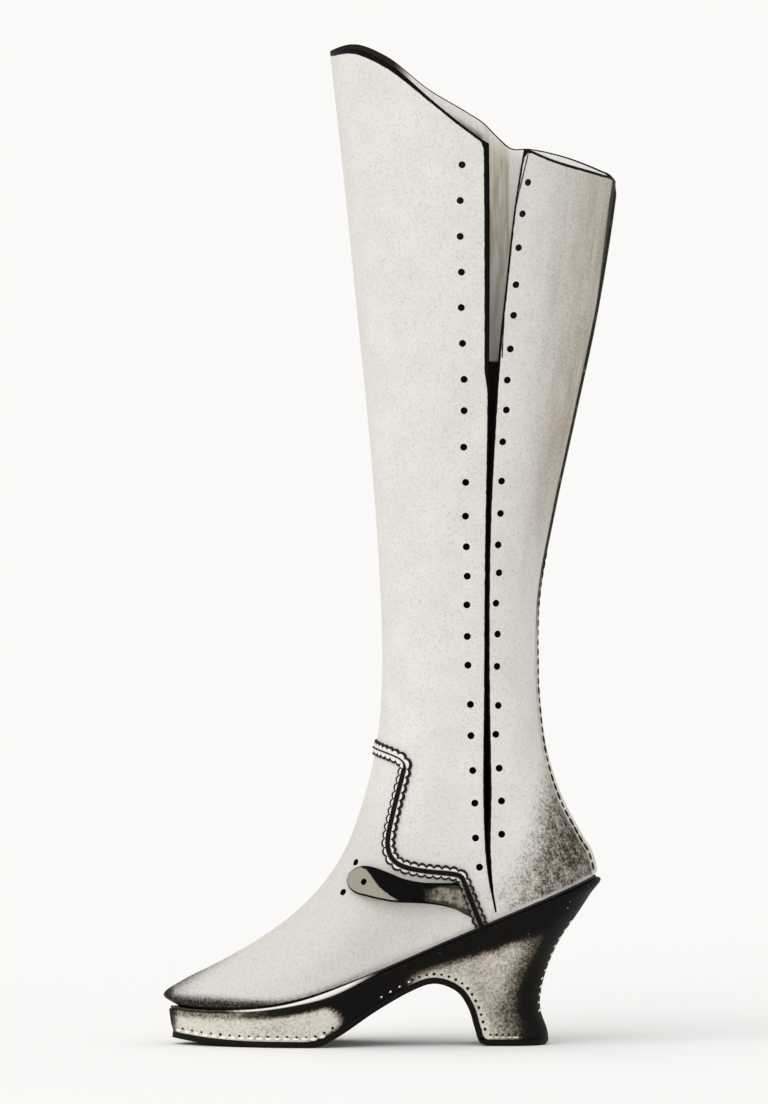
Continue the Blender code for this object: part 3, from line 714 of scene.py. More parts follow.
def upper_finish():
    """Pale leather with its stains, its painted shade and its inked borders."""
    material, tree, shade = leather("pale_leather", PALE, pores=1100.0, gloss=0.08, depth=0.09)
    shade = blend(tree, attribute(tree, "vamp"), shade, VAMP_PALE)
    hairs = noise(tree, 750.0, 3.0, 0.6)
    shade = blend(tree, ramp(tree, hairs, 0.46, 0.74, 0.0, 0.34), shade, CALF_GREY)
    streaks = noise(tree, 150.0, 4.0, 0.6, upright=0.12)
    brushed = ramp(tree, weigh(tree, streaks, 0.5, hairs, 0.5), 0.36, 0.64, 0.55, 1.05)
    # Grey streaks behind the opening: partly grime, partly painted shade darkening towards the back edge.
    calf = math_node(tree, "MULTIPLY", attribute(tree, "calf_soil_and_shade"), brushed)
    shade = blend(tree, calf, shade, CALF_GREY)
    # Heel: specks of dirt mixed with painted shade, low at the back.
    blotches = ramp(tree, noise(tree, 230.0, 2.0), 0.34, 0.66, 0.84, 1.16)
    heel_marks = math_node(tree, "MULTIPLY", attribute(tree, "heel_soil_and_shade"), blotches)
    shade = add_soil_and_shade(tree, shade, HEEL_GREY, heel_marks, speck=700.0, softness=0.24)
    # Black along the toe and the back seam: painted shade on the contours, with scuffing at the toe's
    # foot.
    shade = add_soil_and_shade(tree, shade, SCUFF_AND_SHADE_BLACK, attribute(tree, "scuff_and_shade"), speck=900.0, softness=0.45)
    # Black border: ink on the collar and the opening, widened by painted shade in the opening, at the
    # front of the collar, under the latchet's hole and along the foot of the toe.
    border = ink_and_shade_mask(tree, attribute(tree, "black_border_mm"), width=0.0, unsteady=0.7)
    beside = math_node(tree, "ABSOLUTE", attribute(tree, "second_line_mm"))
    second = ink_and_shade_mask(tree, beside, width=0.35, unsteady=0.3)
    dye(tree, blend(tree, math_node(tree, "MAXIMUM", border, second), shade, INK_AND_SHADE_BLACK))
    return material


UPPER_LEATHER = upper_finish()
print("finish:", UPPER_LEATHER.name)

# %% [markdown]
# The inside is the flesh side, without grain and painted dark as the shade inside the leg, so the
# holes read black. Near the opening and opposite it, down to where the two edges come close, it is
# painted pale as the light that comes in there, and a pale band of painted light runs along the
# inside of the collar. Cut edges are inked black.

# %% Lining and edge finishes
# The dark is painted shade inside the leg; the pale, grey and white are painted light that comes in
# through the opening and the collar.
LINING_DARK = srgb(46, 40, 34)
LINING_PALE = srgb(255, 250, 241)
LINING_GREY = srgb(212, 199, 180)
LINING_WHITE = srgb(252, 250, 246)
LIT_PALE_FROM_Z = 380.0
GREYED_Z = (400.0, 490.0)
WHITE_STRIP_X = (66.2, 67.0)
WHITE_STRIP_Z = (445.0, 460.0)


def axis_of(tree, vector, axis):
    """One coordinate of a place or a direction."""
    return add(tree, "ShaderNodeSeparateXYZ", {"Vector": vector}).outputs[axis]


def lining_finish():
    """Napped flesh side painted dark as shade, painted pale as light where the mesh says so, with a white
    strip of painted light opposite the opening.
    """
    material, tree, shade = leather("flesh_side", LINING_DARK, pores=1500.0, spread=0.15,
                                    roughness=(0.85, 0.95), gloss=0.08, depth=0.15)
    streaks = ramp(tree, noise(tree, 300.0, 3.0, upright=0.05), 0.40, 0.64)
    place = own_place(tree)

    def step(axis, marks, *ends):
        return ramp(tree, axis_of(tree, place, axis), marks[0] * MM, marks[1] * MM, *ends)

    grey = math_node(tree, "MULTIPLY_ADD", streaks, 0.75, step("Z", GREYED_Z, -0.2, 0.45), clamp=True)
    pale = blend(tree, grey, LINING_PALE, LINING_GREY)
    # A white strip of painted light opposite the opening.
    beside = math_node(tree, "MULTIPLY", step("X", WHITE_STRIP_X), step("Z", WHITE_STRIP_Z))
    paler = math_node(tree, "MAXIMUM", attribute(tree, "lit_white"), beside)
    pale = blend(tree, paler, pale, LINING_WHITE)
    # Painted light only above where the two edges come close.
    above = step("Z", (LIT_PALE_FROM_Z, LIT_PALE_FROM_Z + 1.5))
    lit_pale = math_node(tree, "MULTIPLY", attribute(tree, "lit_pale"), above)
    dye(tree, blend(tree, lit_pale, shade, pale))
    return material


LINING = lining_finish()
INKED_EDGE = leather("inked_edge", INK_AND_SHADE_BLACK, pores=700.0, spread=0.25, roughness=(0.6, 0.75),
                     gloss=0.05)[0]
# Walls of the punched holes, painted dark as the shade inside a hole.
PUNCHED_EDGE = leather("punched_edge", srgb(28, 24, 21), pores=700.0, spread=0.2,
                       roughness=(0.6, 0.8), gloss=0.1)[0]
print("finishes:", LINING.name, INKED_EDGE.name, PUNCHED_EDGE.name)

# %% [markdown]
# ## Upper
# The upper is one skin of leather 2.2 mm thick. It could be a sheet with a Solidify modifier, but a
# cut edge of real leather is rounded by the skiving knife, so the mesh turns from the outside over
# the edge to the inside in a half round. The net follows the two edges of the opening exactly,
# because its strips are counted from them. Soft upright folds stand in the slack back of the calf.

# %% Strips of the net
FRONT_STRIPS = 44
REAR_STRIPS = 46
FAR_STRIPS = 86


def slit_turns(level, edge):
    """Turn at which an edge of the opening lies on each level."""
    ring = ring_at(UPPER_RINGS, level)
    share = np.full(np.shape(level), 0.6)
    for _ in range(8):
        share = share_at(ring, edge(ring_height(ring, share)))
    return np.arccos(1 - 2 * share)


def strip_turns(level):
    """Turns of all strips on each level, from the front round the open side and back."""
    front = slit_turns(level, slit_front)[..., None]
    rear = slit_turns(level, slit_rear)[..., None]
    far = math.pi + math.pi * np.arange(1, FAR_STRIPS) / FAR_STRIPS
    return np.concatenate((
        front * np.linspace(0, 1, FRONT_STRIPS + 1),
        mix(rear, math.pi, np.linspace(0, 1, REAR_STRIPS + 1)),
        np.broadcast_to(far, front.shape[:-1] + far.shape)), axis=-1)


def collar_levels():
    """Level at which each strip reaches the collar."""
    strips = np.arange(FRONT_STRIPS + REAR_STRIPS + FAR_STRIPS + 1)

    def above(level):
        point = skin(strip_turns(level)[strips, strips], level)
        return point[:, 2] > collar(point[:, 0], point[:, 1] > 0)

    low, high = np.full(len(strips), float(ANKLE_LEVEL)), np.full(len(strips), len(UPPER_RINGS) - 1.0)
    return close_in(low, high, above)


TOPS = collar_levels()
print("strips reach the collar at levels", TOPS.min().round(2), "to", TOPS.max().round(2))

# %% Upper net
FOOT_ROWS = 92
LEG_ROWS = 84
FOLD_DEPTH = 0.5


def soft_folds(points, turns):
    """Slack upright folds in the back of the calf, none at the seam or the lacing."""
    x, z = points[..., 0], points[..., 2]
    room = np.where(np.sin(turns) > 0, rise(x - slit_rear(z), 12.0, 30.0), rise(x, 60.0, 85.0))
    room = room * rise(np.abs(turns - math.pi), 0.175, 0.675)
    tall = rise(z, 215.0, 295.0) * rise(z, 505.0, 445.0)
    wave = np.sin(turns * 13.0 + z / 90.0) + 0.6 * np.sin(turns * 21.0 - z / 60.0 + 1.0)
    return FOLD_DEPTH * room * tall * wave


def upper_net():
    """Outside points of the upper and the way out at each."""
    foot = np.linspace(0.0, ANKLE_LEVEL, FOOT_ROWS + 1)
    climb = np.arange(1, LEG_ROWS + 1)[:, None] / LEG_ROWS
    foot_levels = np.broadcast_to(foot[:, None], (FOOT_ROWS + 1, len(TOPS)))
    levels = np.concatenate((foot_levels, mix(float(ANKLE_LEVEL), TOPS[None, :], climb)))
    turns = np.take_along_axis(strip_turns(levels), np.arange(len(TOPS))[None, :, None], axis=2)[..., 0]
    points = skin(turns, levels)
    around = np.roll(points, -1, axis=1) - np.roll(points, 1, axis=1)
    outward = np.cross(around, np.gradient(points, axis=0))
    outward[0, :, 2] = 0.0
    outward = unit(outward)
    return points + soft_folds(points, turns)[..., None] * outward, outward, levels


UPPER_POINTS, UPPER_OUT, UPPER_LEVELS = upper_net()
print("upper net:", UPPER_POINTS.shape[0], "rows by", UPPER_POINTS.shape[1], "strips")

# %% [markdown]
# The skin becomes a closed solid: outside, inside, and a half-round edge along the opening and the
# collar. Each face knows its finish: grain side, flesh side or inked edge.

# %% Upper solid
WALL = 2.2
EDGE_BULGE = 0.7
EDGE_STEPS = 5


def edge_loop(rows, strips, first_row):
    """Point numbers round the free edge: up the front of the opening, the collar, down the rear."""
    before, after, top = FRONT_STRIPS, FRONT_STRIPS + 1, rows - 1
    loop = [row * strips + before for row in range(first_row, rows)]
    loop += [top * strips + strip for strip in range(before - 1, -1, -1)]
    loop += [top * strips + strip for strip in range(strips - 1, after - 1, -1)]
    loop += [row * strips + after for row in range(top - 1, first_row - 1, -1)]
    return np.array(loop)


def make_upper():
    """The leather wall with its rounded edge."""
    rows, strips, _ = UPPER_POINTS.shape
    outer = UPPER_POINTS.reshape(-1, 3)
    out = UPPER_OUT.reshape(-1, 3)
    inner = outer - WALL * out
    first_row = int(np.argmax(UPPER_LEVELS[:, 0] >= 1.0))
    gap = {row * strips + FRONT_STRIPS for row in range(first_row, rows - 1)}
    skin_faces = [face for face in net_faces(rows, strips) if face[0] not in gap]
    count = len(outer)
    faces = skin_faces + [[count + corner for corner in reversed(face)] for face in skin_faces]
    which = [0] * len(skin_faces) + [1] * len(skin_faces)
    for strip in range(strips):
        following = (strip + 1) % strips
        faces.append([strip, following, count + following, count + strip])
        which.append(2)
    loop = edge_loop(rows, strips, first_row)
    ahead = np.roll(outer[loop], -1, axis=0) - np.roll(outer[loop], 1, axis=0)
    beyond = unit(np.cross(ahead, out[loop]))
    beyond *= np.sign(np.sum(beyond[len(loop) // 2] * (0, 0, 1)))
    rails = [loop]
    points = [outer, inner]
    total = 2 * count
    for step in range(1, EDGE_STEPS):
        bend = math.pi * step / EDGE_STEPS
        middle = (outer[loop] + inner[loop]) / 2
        points.append(middle + math.cos(bend) * WALL / 2 * out[loop]
                      + math.sin(bend) * EDGE_BULGE * beyond)
        rails.append(np.arange(total, total + len(loop)))
        total += len(loop)
    rails.append(loop + count)
    for low, high in zip(rails, rails[1:]):
        for i in range(len(loop)):
            j = (i + 1) % len(loop)
            faces.append([int(low[i]), int(low[j]), int(high[j]), int(high[i])])
            which.append(2)
    return new_object("upper_skin", np.concatenate(points), faces,
                      (UPPER_LEATHER, LINING, INKED_EDGE), which)


upper = make_upper()
print("upper before punching:", len(upper.data.polygons), "faces")

# %% [markdown]
# ## Repeating with Geometry Nodes
# Lace holes, needle holes, stitches and the links of a braid are all one small shape set down many
# times. The places are points that carry two directions: the run along the row and the way out of
# the leather. A small node tree turns the shape to these directions, sets it on each point, makes
# the copies real and gives them their material. Its sizes are named inputs.

# %% A tree that sets a shape on points
def repeat_tree(name, shape):
    """A Geometry Nodes tree that repeats a bead or a punch on points."""
    tree = bpy.data.node_groups.new(name, "GeometryNodeTree")
    sockets = tree.interface
    sockets.new_socket("Geometry", in_out="INPUT", socket_type="NodeSocketGeometry")
    for label, value in (("Length", 0.003), ("Width", 0.001), ("Height", 0.001), ("Vary", 0.0)):
        sockets.new_socket(label, in_out="INPUT", socket_type="NodeSocketFloat").default_value = value
    sockets.new_socket("Seed", in_out="INPUT", socket_type="NodeSocketInt").default_value = 1
    sockets.new_socket("Finish", in_out="INPUT", socket_type="NodeSocketMaterial")
    sockets.new_socket("Geometry", in_out="OUTPUT", socket_type="NodeSocketGeometry")
    given = tree.nodes.new("NodeGroupInput")
    result = tree.nodes.new("NodeGroupOutput")
    if shape == "bead":
        bead = add(tree, "GeometryNodeMeshUVSphere", {"Segments": 8, "Rings": 6, "Radius": 0.5})
    else:
        bead = add(tree, "GeometryNodeMeshCylinder", {"Vertices": 20, "Radius": 0.5, "Depth": 1.0})
    size = add(tree, "ShaderNodeCombineXYZ", {
        "X": given.outputs["Length"], "Y": given.outputs["Width"], "Z": given.outputs["Height"]})
    sized = add(tree, "GeometryNodeTransform", {
        "Geometry": bead.outputs["Mesh"], "Scale": size.outputs["Vector"]})
    run = add(tree, "GeometryNodeInputNamedAttribute", {"Name": "run"}, data_type="FLOAT_VECTOR")
    out = add(tree, "GeometryNodeInputNamedAttribute", {"Name": "out"}, data_type="FLOAT_VECTOR")
    turned = add(tree, "FunctionNodeAxesToRotation", {
        "Primary Axis": out.outputs["Attribute"], "Secondary Axis": run.outputs["Attribute"]},
        primary_axis="Z", secondary_axis="X")
    least = math_node(tree, "SUBTRACT", 1.0, given.outputs["Vary"])
    most = math_node(tree, "ADD", 1.0, given.outputs["Vary"])
    chance = add(tree, "FunctionNodeRandomValue", data_type="FLOAT")
    for label, value in (("Min", least), ("Max", most), ("Seed", given.outputs["Seed"])):
        socket = next(s for s in chance.inputs if s.name == label and s.enabled)
        tree.links.new(value, socket)
    chosen = next(s for s in chance.outputs if s.enabled)
    copies = add(tree, "GeometryNodeInstanceOnPoints", {
        "Points": given.outputs["Geometry"], "Instance": sized.outputs["Geometry"],
        "Rotation": turned.outputs["Rotation"], "Scale": chosen})
    real = add(tree, "GeometryNodeRealizeInstances", {"Geometry": copies.outputs["Instances"]})
    final = add(tree, "GeometryNodeSetMaterial", {
        "Geometry": real.outputs["Geometry"], "Material": given.outputs["Finish"]})
    tree.links.new(final.outputs["Geometry"], result.inputs["Geometry"])
    return tree


BEADS = repeat_tree("beads_on_points", "bead")
PUNCHES = repeat_tree("punches_on_points", "punch")
print("trees:", BEADS.name, PUNCHES.name)

# %% Repeat a shape
def repeat(name, tree, points, runs, outs, sizes, finish, vary=0.0, seed=7):
    """Set a shape of the given length, width and height in mm on every point."""
    holder = new_object(name, points, [])
    for label, vectors in (("run", runs), ("out", outs)):
        layer = holder.data.attributes.new(label, "FLOAT_VECTOR", "POINT")
        layer.data.foreach_set("vector", np.asarray(vectors, np.float32).ravel())
    step = holder.modifiers.new("repeat", "NODES")
    step.node_group = tree
    values = dict(zip(("Length", "Width", "Height"), [s * MM for s in sizes]))
    values.update({"Vary": vary, "Seed": seed, "Finish": finish})
    for item in tree.interface.items_tree:
        if item.in_out == "INPUT" and item.name in values:
            step[item.identifier] = values[item.name]
    settle(holder)
    count = len(holder.data.polygons)
    holder.data.materials.clear()
    holder.data.materials.append(finish)
    holder.data.polygons.foreach_set("material_index", [0] * count)
    holder.data.polygons.foreach_set("use_smooth", [True] * count)
    return holder


print("inputs:", ", ".join(item.name for item in BEADS.interface.items_tree if item.in_out == "INPUT"))

# %% [markdown]
# ## Lace holes
# The holes are plain and round, without metal. Twenty-two run down the front edge of the opening,
# twenty-one down the rear edge, and two sit in the vamp by the end of the latchet. They were punched
# by eye, so no two steps are alike and each hole has its own place in the tables. The punch is a
# short cylinder pushed through the leather, and it leaves its dark finish on the hole's walls as the
# painted shade inside each hole.

# %% Punch the lace holes
HOLE_ACROSS = 4.0
FRONT_LACING = (
    (39.9, 495.2), (38.9, 475.2), (38.9, 455.1), (39.6, 435.1), (39.5, 415.2), (40.2, 395.1),
    (41.1, 374.9), (41.1, 357.3), (40.9, 336.8), (42.0, 317.0), (41.9, 298.0), (42.4, 280.8),
    (42.9, 264.3), (42.7, 248.2), (42.9, 230.5), (43.3, 214.4), (44.7, 192.4), (45.0, 174.9),
    (46.0, 155.4), (47.2, 137.1), (47.6, 117.5), (49.8, 101.1))
REAR_LACING = (
    (76.7, 485.4), (73.6, 467.8), (71.5, 448.8), (70.0, 428.0), (68.7, 410.8), (66.9, 391.9),
    (65.2, 374.4), (64.7, 357.6), (62.7, 339.7), (62.1, 317.6), (61.5, 299.4), (60.2, 281.7),
    (60.7, 266.0), (59.0, 248.9), (59.9, 231.6), (59.6, 213.5), (60.3, 191.7), (58.9, 175.6),
    (60.8, 156.6), (62.1, 138.2), (62.2, 119.5))
VAMP_HOLES = ((-19.4, 103.2), (-26.5, 86.7))
LATCHET_HOLE = (-13.0, 92.0)


def punch_upper():
    """Cut the holes through the upper."""
    spots = np.array(FRONT_LACING + REAR_LACING + VAMP_HOLES)
    point, by_turn, _, out = skin_frame(*place_on_side(spots[:, 0], spots[:, 1]))
    tool = repeat("punches", PUNCHES, point, unit(by_turn), out,
                  (HOLE_ACROSS, HOLE_ACROSS, 6 * WALL), PUNCHED_EDGE)
    cut(upper, tool)
    sharpen(upper, degrees=60.0)
    return len(spots)


print(punch_upper(), "holes punched")

# %% [markdown]
# ## Where the upper is stained and painted with shade
# Each stain and each patch of painted shade is a soft shape in the side view, measured from the
# nearest edge. The numbers go onto the mesh after punching, so the new points round the holes get
# theirs too.

# %% Stains and painted shade on the upper
# The calf wash is partly painted shade, the seam and edge washes are painted shade at the back edge, and
# the heel wash is dirt and painted shade.
CALF_WASH, SEAM_WASH, EDGE_WASH, HEEL_WASH, VAMP_WASH = 0.48, 0.38, 0.1, 0.72, 0.85
# Where the heel's dirt and painted shade start: heights and the places there; then how their strength
# turns into specks
HEEL_ZONE_Z, HEEL_ZONE_X = (88.0, 95.0, 110.0, 126.0, 150.0), (47.0, 55.0, 67.0, 73.0, 79.0)
HEEL_ZONE_FULL_X = 97.0
HEEL_ZONE_STEPS, SPECKS = (0.0, 0.05, 0.25, 1.0), (0.0, 0.22, 0.32, 0.56)
# The painted shade down the back seam: heights and how far it reaches there
SEAM_Z, SEAM_REACH = (215.0, 270.0, 420.0, 470.0), (-0.6, 0.0, 0.4, 1.9)


def back_x(z):
    """Back of the leg and heel in the side view."""
    return np.interp(z, UPPER_RINGS[:, 3], UPPER_RINGS[:, 2])


def soil_and_shade_upper():
    """Grey washes on calf, heel and vamp, and black at toe and back; much of the calf and heel wash and
    most of the black is painted shade, the rest grime and scuffs.
    """
    x, y, z = places(upper).T
    from_back = back_x(z) - x
    above_sole = z - feather(x)
    behind = np.where(y < 0, x - slit_rear(z), x - 58.0)
    # Calf: grey streaks behind the opening, with painted shade growing towards the back edge.
    calf = CALF_WASH * rise(behind, 6.0, 34.0) + SEAM_WASH * rise(from_back, 24.0, 0.0)
    calf *= rise(z, 225.0, 335.0) * rise(behind, 3.0, 15.0)
    calf = np.maximum(calf, EDGE_WASH * rise(from_back, 6.0, 0.0) * rise(z, 120.0, 180.0))
    # Heel: dirt and painted shade, densest low at the back.
    heel_zone = rise(x, np.interp(z, HEEL_ZONE_Z, HEEL_ZONE_X), HEEL_ZONE_FULL_X) * rise(z, 178.0, 134.0)
    clear = rise(above_sole, 0.5, 2.7)
    densest = np.exp(-((x - 98.0) ** 2 + (z - 112.0) ** 2) / 160.0)
    mark(upper, "calf_soil_and_shade", np.maximum(calf, HEEL_WASH * heel_zone * clear))
    mark(upper, "heel_soil_and_shade", (np.interp(heel_zone, HEEL_ZONE_STEPS, SPECKS) + 0.1 * densest) * clear)
    # Toe: painted shade and dirt along its foot, painted shade at its tip and along its top.
    to_waist = rise(x, -108.0, -46.0)
    black, fringe = mix(3.6, 0.5, to_waist), mix(7.0, 4.5, to_waist)
    toe = rise(above_sole, black + fringe, black) * rise(x, 8.0, -32.0)
    toe *= mix(0.95, 0.5, rise(x, -78.0, -48.0))
    tip = rise(x, -118.5, -123.5)
    ridge = 0.72 * np.exp(-(y / 11.0) ** 2) * rise(x, -72.0, -118.0)
    # Back seam: painted shade along the back contour of the calf.
    reach = np.interp(z, SEAM_Z, SEAM_REACH)
    seam = rise(from_back, reach + 0.8, reach - 0.4) * rise(z, 205.0, 235.0)
    mark(upper, "scuff_and_shade", np.max((toe, tip, ridge, seam), axis=0))
    mark(upper, "vamp", VAMP_WASH * rise(z, 165.0, 105.0) * rise(x, 30.0, -20.0))


soil_and_shade_upper()
print("stains on", len(upper.data.vertices), "points of the upper")

# %% Ink and painted shade on the upper, and painted light on the lining
# Widths of black past each edge: ink, widened by painted shade at the front of the collar and along the
# opening, with painted shadow under the latchet's hole and at the foot of the toe.
FRONT_COLLAR_INK_AND_SHADE = 1.9
COLLAR_INK = 0.8
OPENING_INK_AND_SHADE = 2.2
LOWER_OPENING_INK_AND_SHADE = 0.5
REAR_OPENING_INK = 0.6
TOE_SHADOW = 1.4
HOLE_SHADOW = 3.6
LIT_COLLAR_DEEP = 7.5
SLIT_END_Z = 77.5
NO_LINE = 99.0
# The second line beside the opening: heights and how far off the edge it is there
SECOND_Z, SECOND_OFF = (384.0, 416.0, 470.0, 500.0), (1.5, 0.0, 0.0, 2.3)


def ink_shade_and_light_upper():
    """Inked borders widened by painted shade, and the parts of the lining painted pale as light."""
    x, y, z = places(upper).T
    near = y < 0
    to_collar = (collar(x, ~near) - z) * 0.82
    middle = (slit_front(z) + slit_rear(z)) / 2
    off_middle = np.abs(x - middle)
    half_gap = (slit_rear(z) - slit_front(z)) / 2
    to_slit = np.where(near & (z > SLIT_END_Z), np.maximum(off_middle - half_gap, 0.0), NO_LINE)
    front_ink_and_shade = mix(LOWER_OPENING_INK_AND_SHADE, OPENING_INK_AND_SHADE, rise(z, 366.0, 382.0))
    slit_ink_and_shade = np.where(x < middle, front_ink_and_shade, REAR_OPENING_INK) * rise(z, SLIT_END_Z, SLIT_END_Z + 30.0)
    # Painted shadow under the latchet's hole.
    hole_x, hole_z = LATCHET_HOLE
    to_hole = np.where(near, np.hypot(x - hole_x, z - hole_z), NO_LINE)
    inks_and_shades = (to_collar - mix(FRONT_COLLAR_INK_AND_SHADE, COLLAR_INK, rise(x, -4.0, 26.0)),
            to_slit - slit_ink_and_shade, to_hole - HOLE_SHADOW, z - feather(x) - TOE_SHADOW * rise(x, 4.0, -56.0))
    mark(upper, "black_border_mm", np.min(inks_and_shades, axis=0))
    flap = near & (x > middle) & (z > SECOND_Z[0])
    off = np.interp(z, SECOND_Z, SECOND_OFF)
    mark(upper, "second_line_mm", np.where(flap, x - slit_rear(z) - off, NO_LINE))
    # Painted light on the lining: pale near the opening and opposite it, a pale band inside the collar,
    # and whiter beside the window of the opening.
    opposite = rise(off_middle, half_gap + 3.0, half_gap + 0.5)
    round_gap = rise(off_middle, half_gap + 68.0, half_gap + 22.0)
    lit_collar = rise(to_collar, LIT_COLLAR_DEEP, LIT_COLLAR_DEEP - 1.5) * rise(x, 2.0, 14.0)
    mark(upper, "lit_pale", np.maximum(np.where(near, round_gap, opposite), lit_collar))
    window = rise(x, 48.0, 54.0) * rise(x, 80.0, 74.0)
    mark(upper, "lit_white", lit_collar * mix(0.8, 0.5, window))


ink_shade_and_light_upper()
hand_over(upper, "upper_leather", "upper")

# %% [markdown]
# ## Insole
# A board of plain leather lies inside on the feather edge. It is seen only from above, through the
# collar, so a flat stack of two rings with a rounded rim is enough, with a foot-darkened finish.

# %% Solids from rings
SOLE_SIDE_POINTS = 110


def draw_in(ring, inset):
    """A ring made smaller all round."""
    return ring + inset * np.array((1, 0, -1, 0, 0, -1, 0, -1, 0, -1, 0))


def ring_points(ring, height=None):
    """Points round a ring that is the same on both sides."""
    half = SOLE_SIDE_POINTS
    turn = math.pi * np.arange(2 * half) / half
    share = (1 - np.cos(turn)) / 2
    x = mix(ring[0], ring[2], share)
    y = np.where(np.arange(2 * half) < half, -1.0, 1.0) * half_width(ring[None, :], share)
    z = height(x) if height else ring_height(ring[None, :], share)
    return np.stack((x, y, z), axis=-1)


def ladder(first, count):
    """Faces across a loop from its front point to its back."""
    half = count // 2
    faces = [[first, first + 1, first + count - 1],
             [first + half - 1, first + half, first + half + 1]]
    for i in range(1, half - 1):
        faces.append([first + i, first + i + 1, first + count - i - 1, first + count - i])
    return faces


def stack(name, rings, material):
    """A solid through rings from the bottom to the top, closed across both."""
    count = len(rings[0])
    faces = net_faces(len(rings), count)
    faces += ladder(0, count) + ladder((len(rings) - 1) * count, count)
    return new_object(name, np.concatenate(rings), faces, (material,))


print("a ring has", 2 * SOLE_SIDE_POINTS, "points")

# %% Insole
INSOLE_THICK = 2.2
SEAM_SPACE = 0.3


def make_insole():
    """The board inside the upper."""
    ring = UPPER_RINGS[0]
    inset = WALL + 4 * SEAM_SPACE
    rings = []
    for more, up in ((0.5, 0.0), (0.0, 0.5), (0.0, INSOLE_THICK - 0.6), (0.6, INSOLE_THICK)):
        rings.append(ring_points(draw_in(ring, inset + more), lambda x, up=up: feather(x) + up))
    finish = leather("insole_leather", srgb(120, 98, 74), pores=800.0, spread=0.16,
                     roughness=(0.7, 0.85), gloss=0.15)[0]
    return stack("insole_board", rings, finish)


hand_over(make_insole(), "insole_leather", "insole")

# %% [markdown]
# ## Covered platform, waist and heel
# Under the foot one block makes the platform, the arched waist and the waisted heel, all covered
# in leather. It is lofted through the sole's rings and cut off below where the outsole lies. The
# cover is pale on the platform and grey brown on the heel's side. Painted shade makes it near black
# along its top under the upper, along the waist and down the back of the heel, and a painted
# highlight lightens the middle of the heel's side. Again the mesh carries the tone and the shader
# breaks it into specks.

# %% Lines of the sole
RAND_THICK = 1.4
RAND_SWELL = 1.9
RAND_SWELL_X = -33.0
RAND_SWELL_REACH = 17.0
OUTSOLE_THICK = 3.2
SOLE_PROFILE = ((-122.3, 3.8), (-100.0, 1.2), (-76.0, 0.0), (-45.0, 0.0), (-30.0, 5.6), (-8.0, 20.2),
                (12.0, 31.4), (25.0, 35.3), (37.0, 30.8), (43.5, 21.5), (46.8, 11.0), (48.8, 3.9))


def rand_top(x):
    """Upper side of the strip between upper and sole."""
    return feather(x) - SEAM_SPACE


def rand_bottom(x):
    """Its lower side."""
    swell = RAND_SWELL * np.exp(-((x - RAND_SWELL_X) / RAND_SWELL_REACH) ** 2)
    return rand_top(x) - RAND_THICK - swell


def block_edge(x):
    """Edge of the block on which that strip lies."""
    return rand_bottom(x) - SEAM_SPACE


def even_spots(table, per_span):
    """Places along a table, counted in rows, as many in each span."""
    return np.linspace(0, len(table) - 1, (len(table) - 1) * per_span + 1)


def side_line(table, spots):
    """A side-view table drawn out into a smooth line that stays on or above the floor."""
    line = smooth(np.arange(len(table)), np.array(table), spots)
    line[:, 1] = np.maximum(line[:, 1], 0.0)
    return line


def to_left(line):
    """Unit normals of a side-view line, to the left of its run."""
    run = np.gradient(line, axis=0)
    return unit(np.stack((-run[:, 1], run[:, 0]), axis=-1))


print("block's edge at x 0:", round(float(block_edge(0.0)), 1), "mm above the floor")

# %% Block finish
# Tones from the near black of painted shade up to the pale of the platform.
COVER_TONES = ((0.0, (13, 11, 10)), (0.18, (26, 22, 19)), (0.40, (90, 82, 71)),
               (0.68, (160, 152, 140)), (1.0, (210, 204, 195)))


def block_finish():
    """Cover leather from near black to pale by the tone that the mesh carries, with its painted shade and
    highlight.
    """
    material, tree, _ = leather("block_cover", srgb(120, 112, 100), pores=1000.0, gloss=0.08, depth=0.10)
    # The tone holds the cover's own pale and grey brown, painted shade and a painted highlight.
    light = attribute(tree, "tone_light_and_shade")
    broken = math_node(tree, "ADD", swing(tree, noise(tree, 720.0, 3.0, 0.6), 1.05),
                       swing(tree, noise(tree, 90.0, 3.0), 0.35))
    bare = ramp(tree, light, 0.03, 0.40, 0.12, 1.0)
    light = math_node(tree, "MULTIPLY_ADD", broken, bare, light)
    flecks = ramp(tree, noise(tree, 560.0, 0.0), 0.82, 0.87, 0.0, 0.5)
    tones = add(tree, "ShaderNodeValToRGB", {"Fac": math_node(tree, "MAXIMUM", light, flecks)})
    stops = tones.color_ramp.elements
    stops[0].position, stops[1].position = COVER_TONES[0][0], COVER_TONES[-1][0]
    for place, _ in COVER_TONES[1:-1]:
        stops.new(place)
    for stop, (_, color) in zip(stops, COVER_TONES):
        stop.color = srgb(*color)
    corner = ink_and_shade_mask(tree, attribute(tree, "black_border_mm"), width=0.0, unsteady=0.4)
    dye(tree, blend(tree, corner, tones.outputs["Color"], INK_AND_SHADE_BLACK))
    return material


print("tones of the cover:", len(COVER_TONES))

# %% Block shape
RAND_WIDTH = 9.0
TOP_PIECE_THICK = 3.4
TIP_SWELL = 1.4
TIP_INSET = 2.2


def prism(name, outline, half_depth):
    """A side-view outline drawn out across the boot, as a cutting tool."""
    count = len(outline)
    points = [(x, y, z) for y in (-half_depth, half_depth) for x, z in outline]
    faces = [list(range(count)), list(range(2 * count - 1, count - 1, -1))]
    return new_object(name, points, faces + net_faces(2, count))


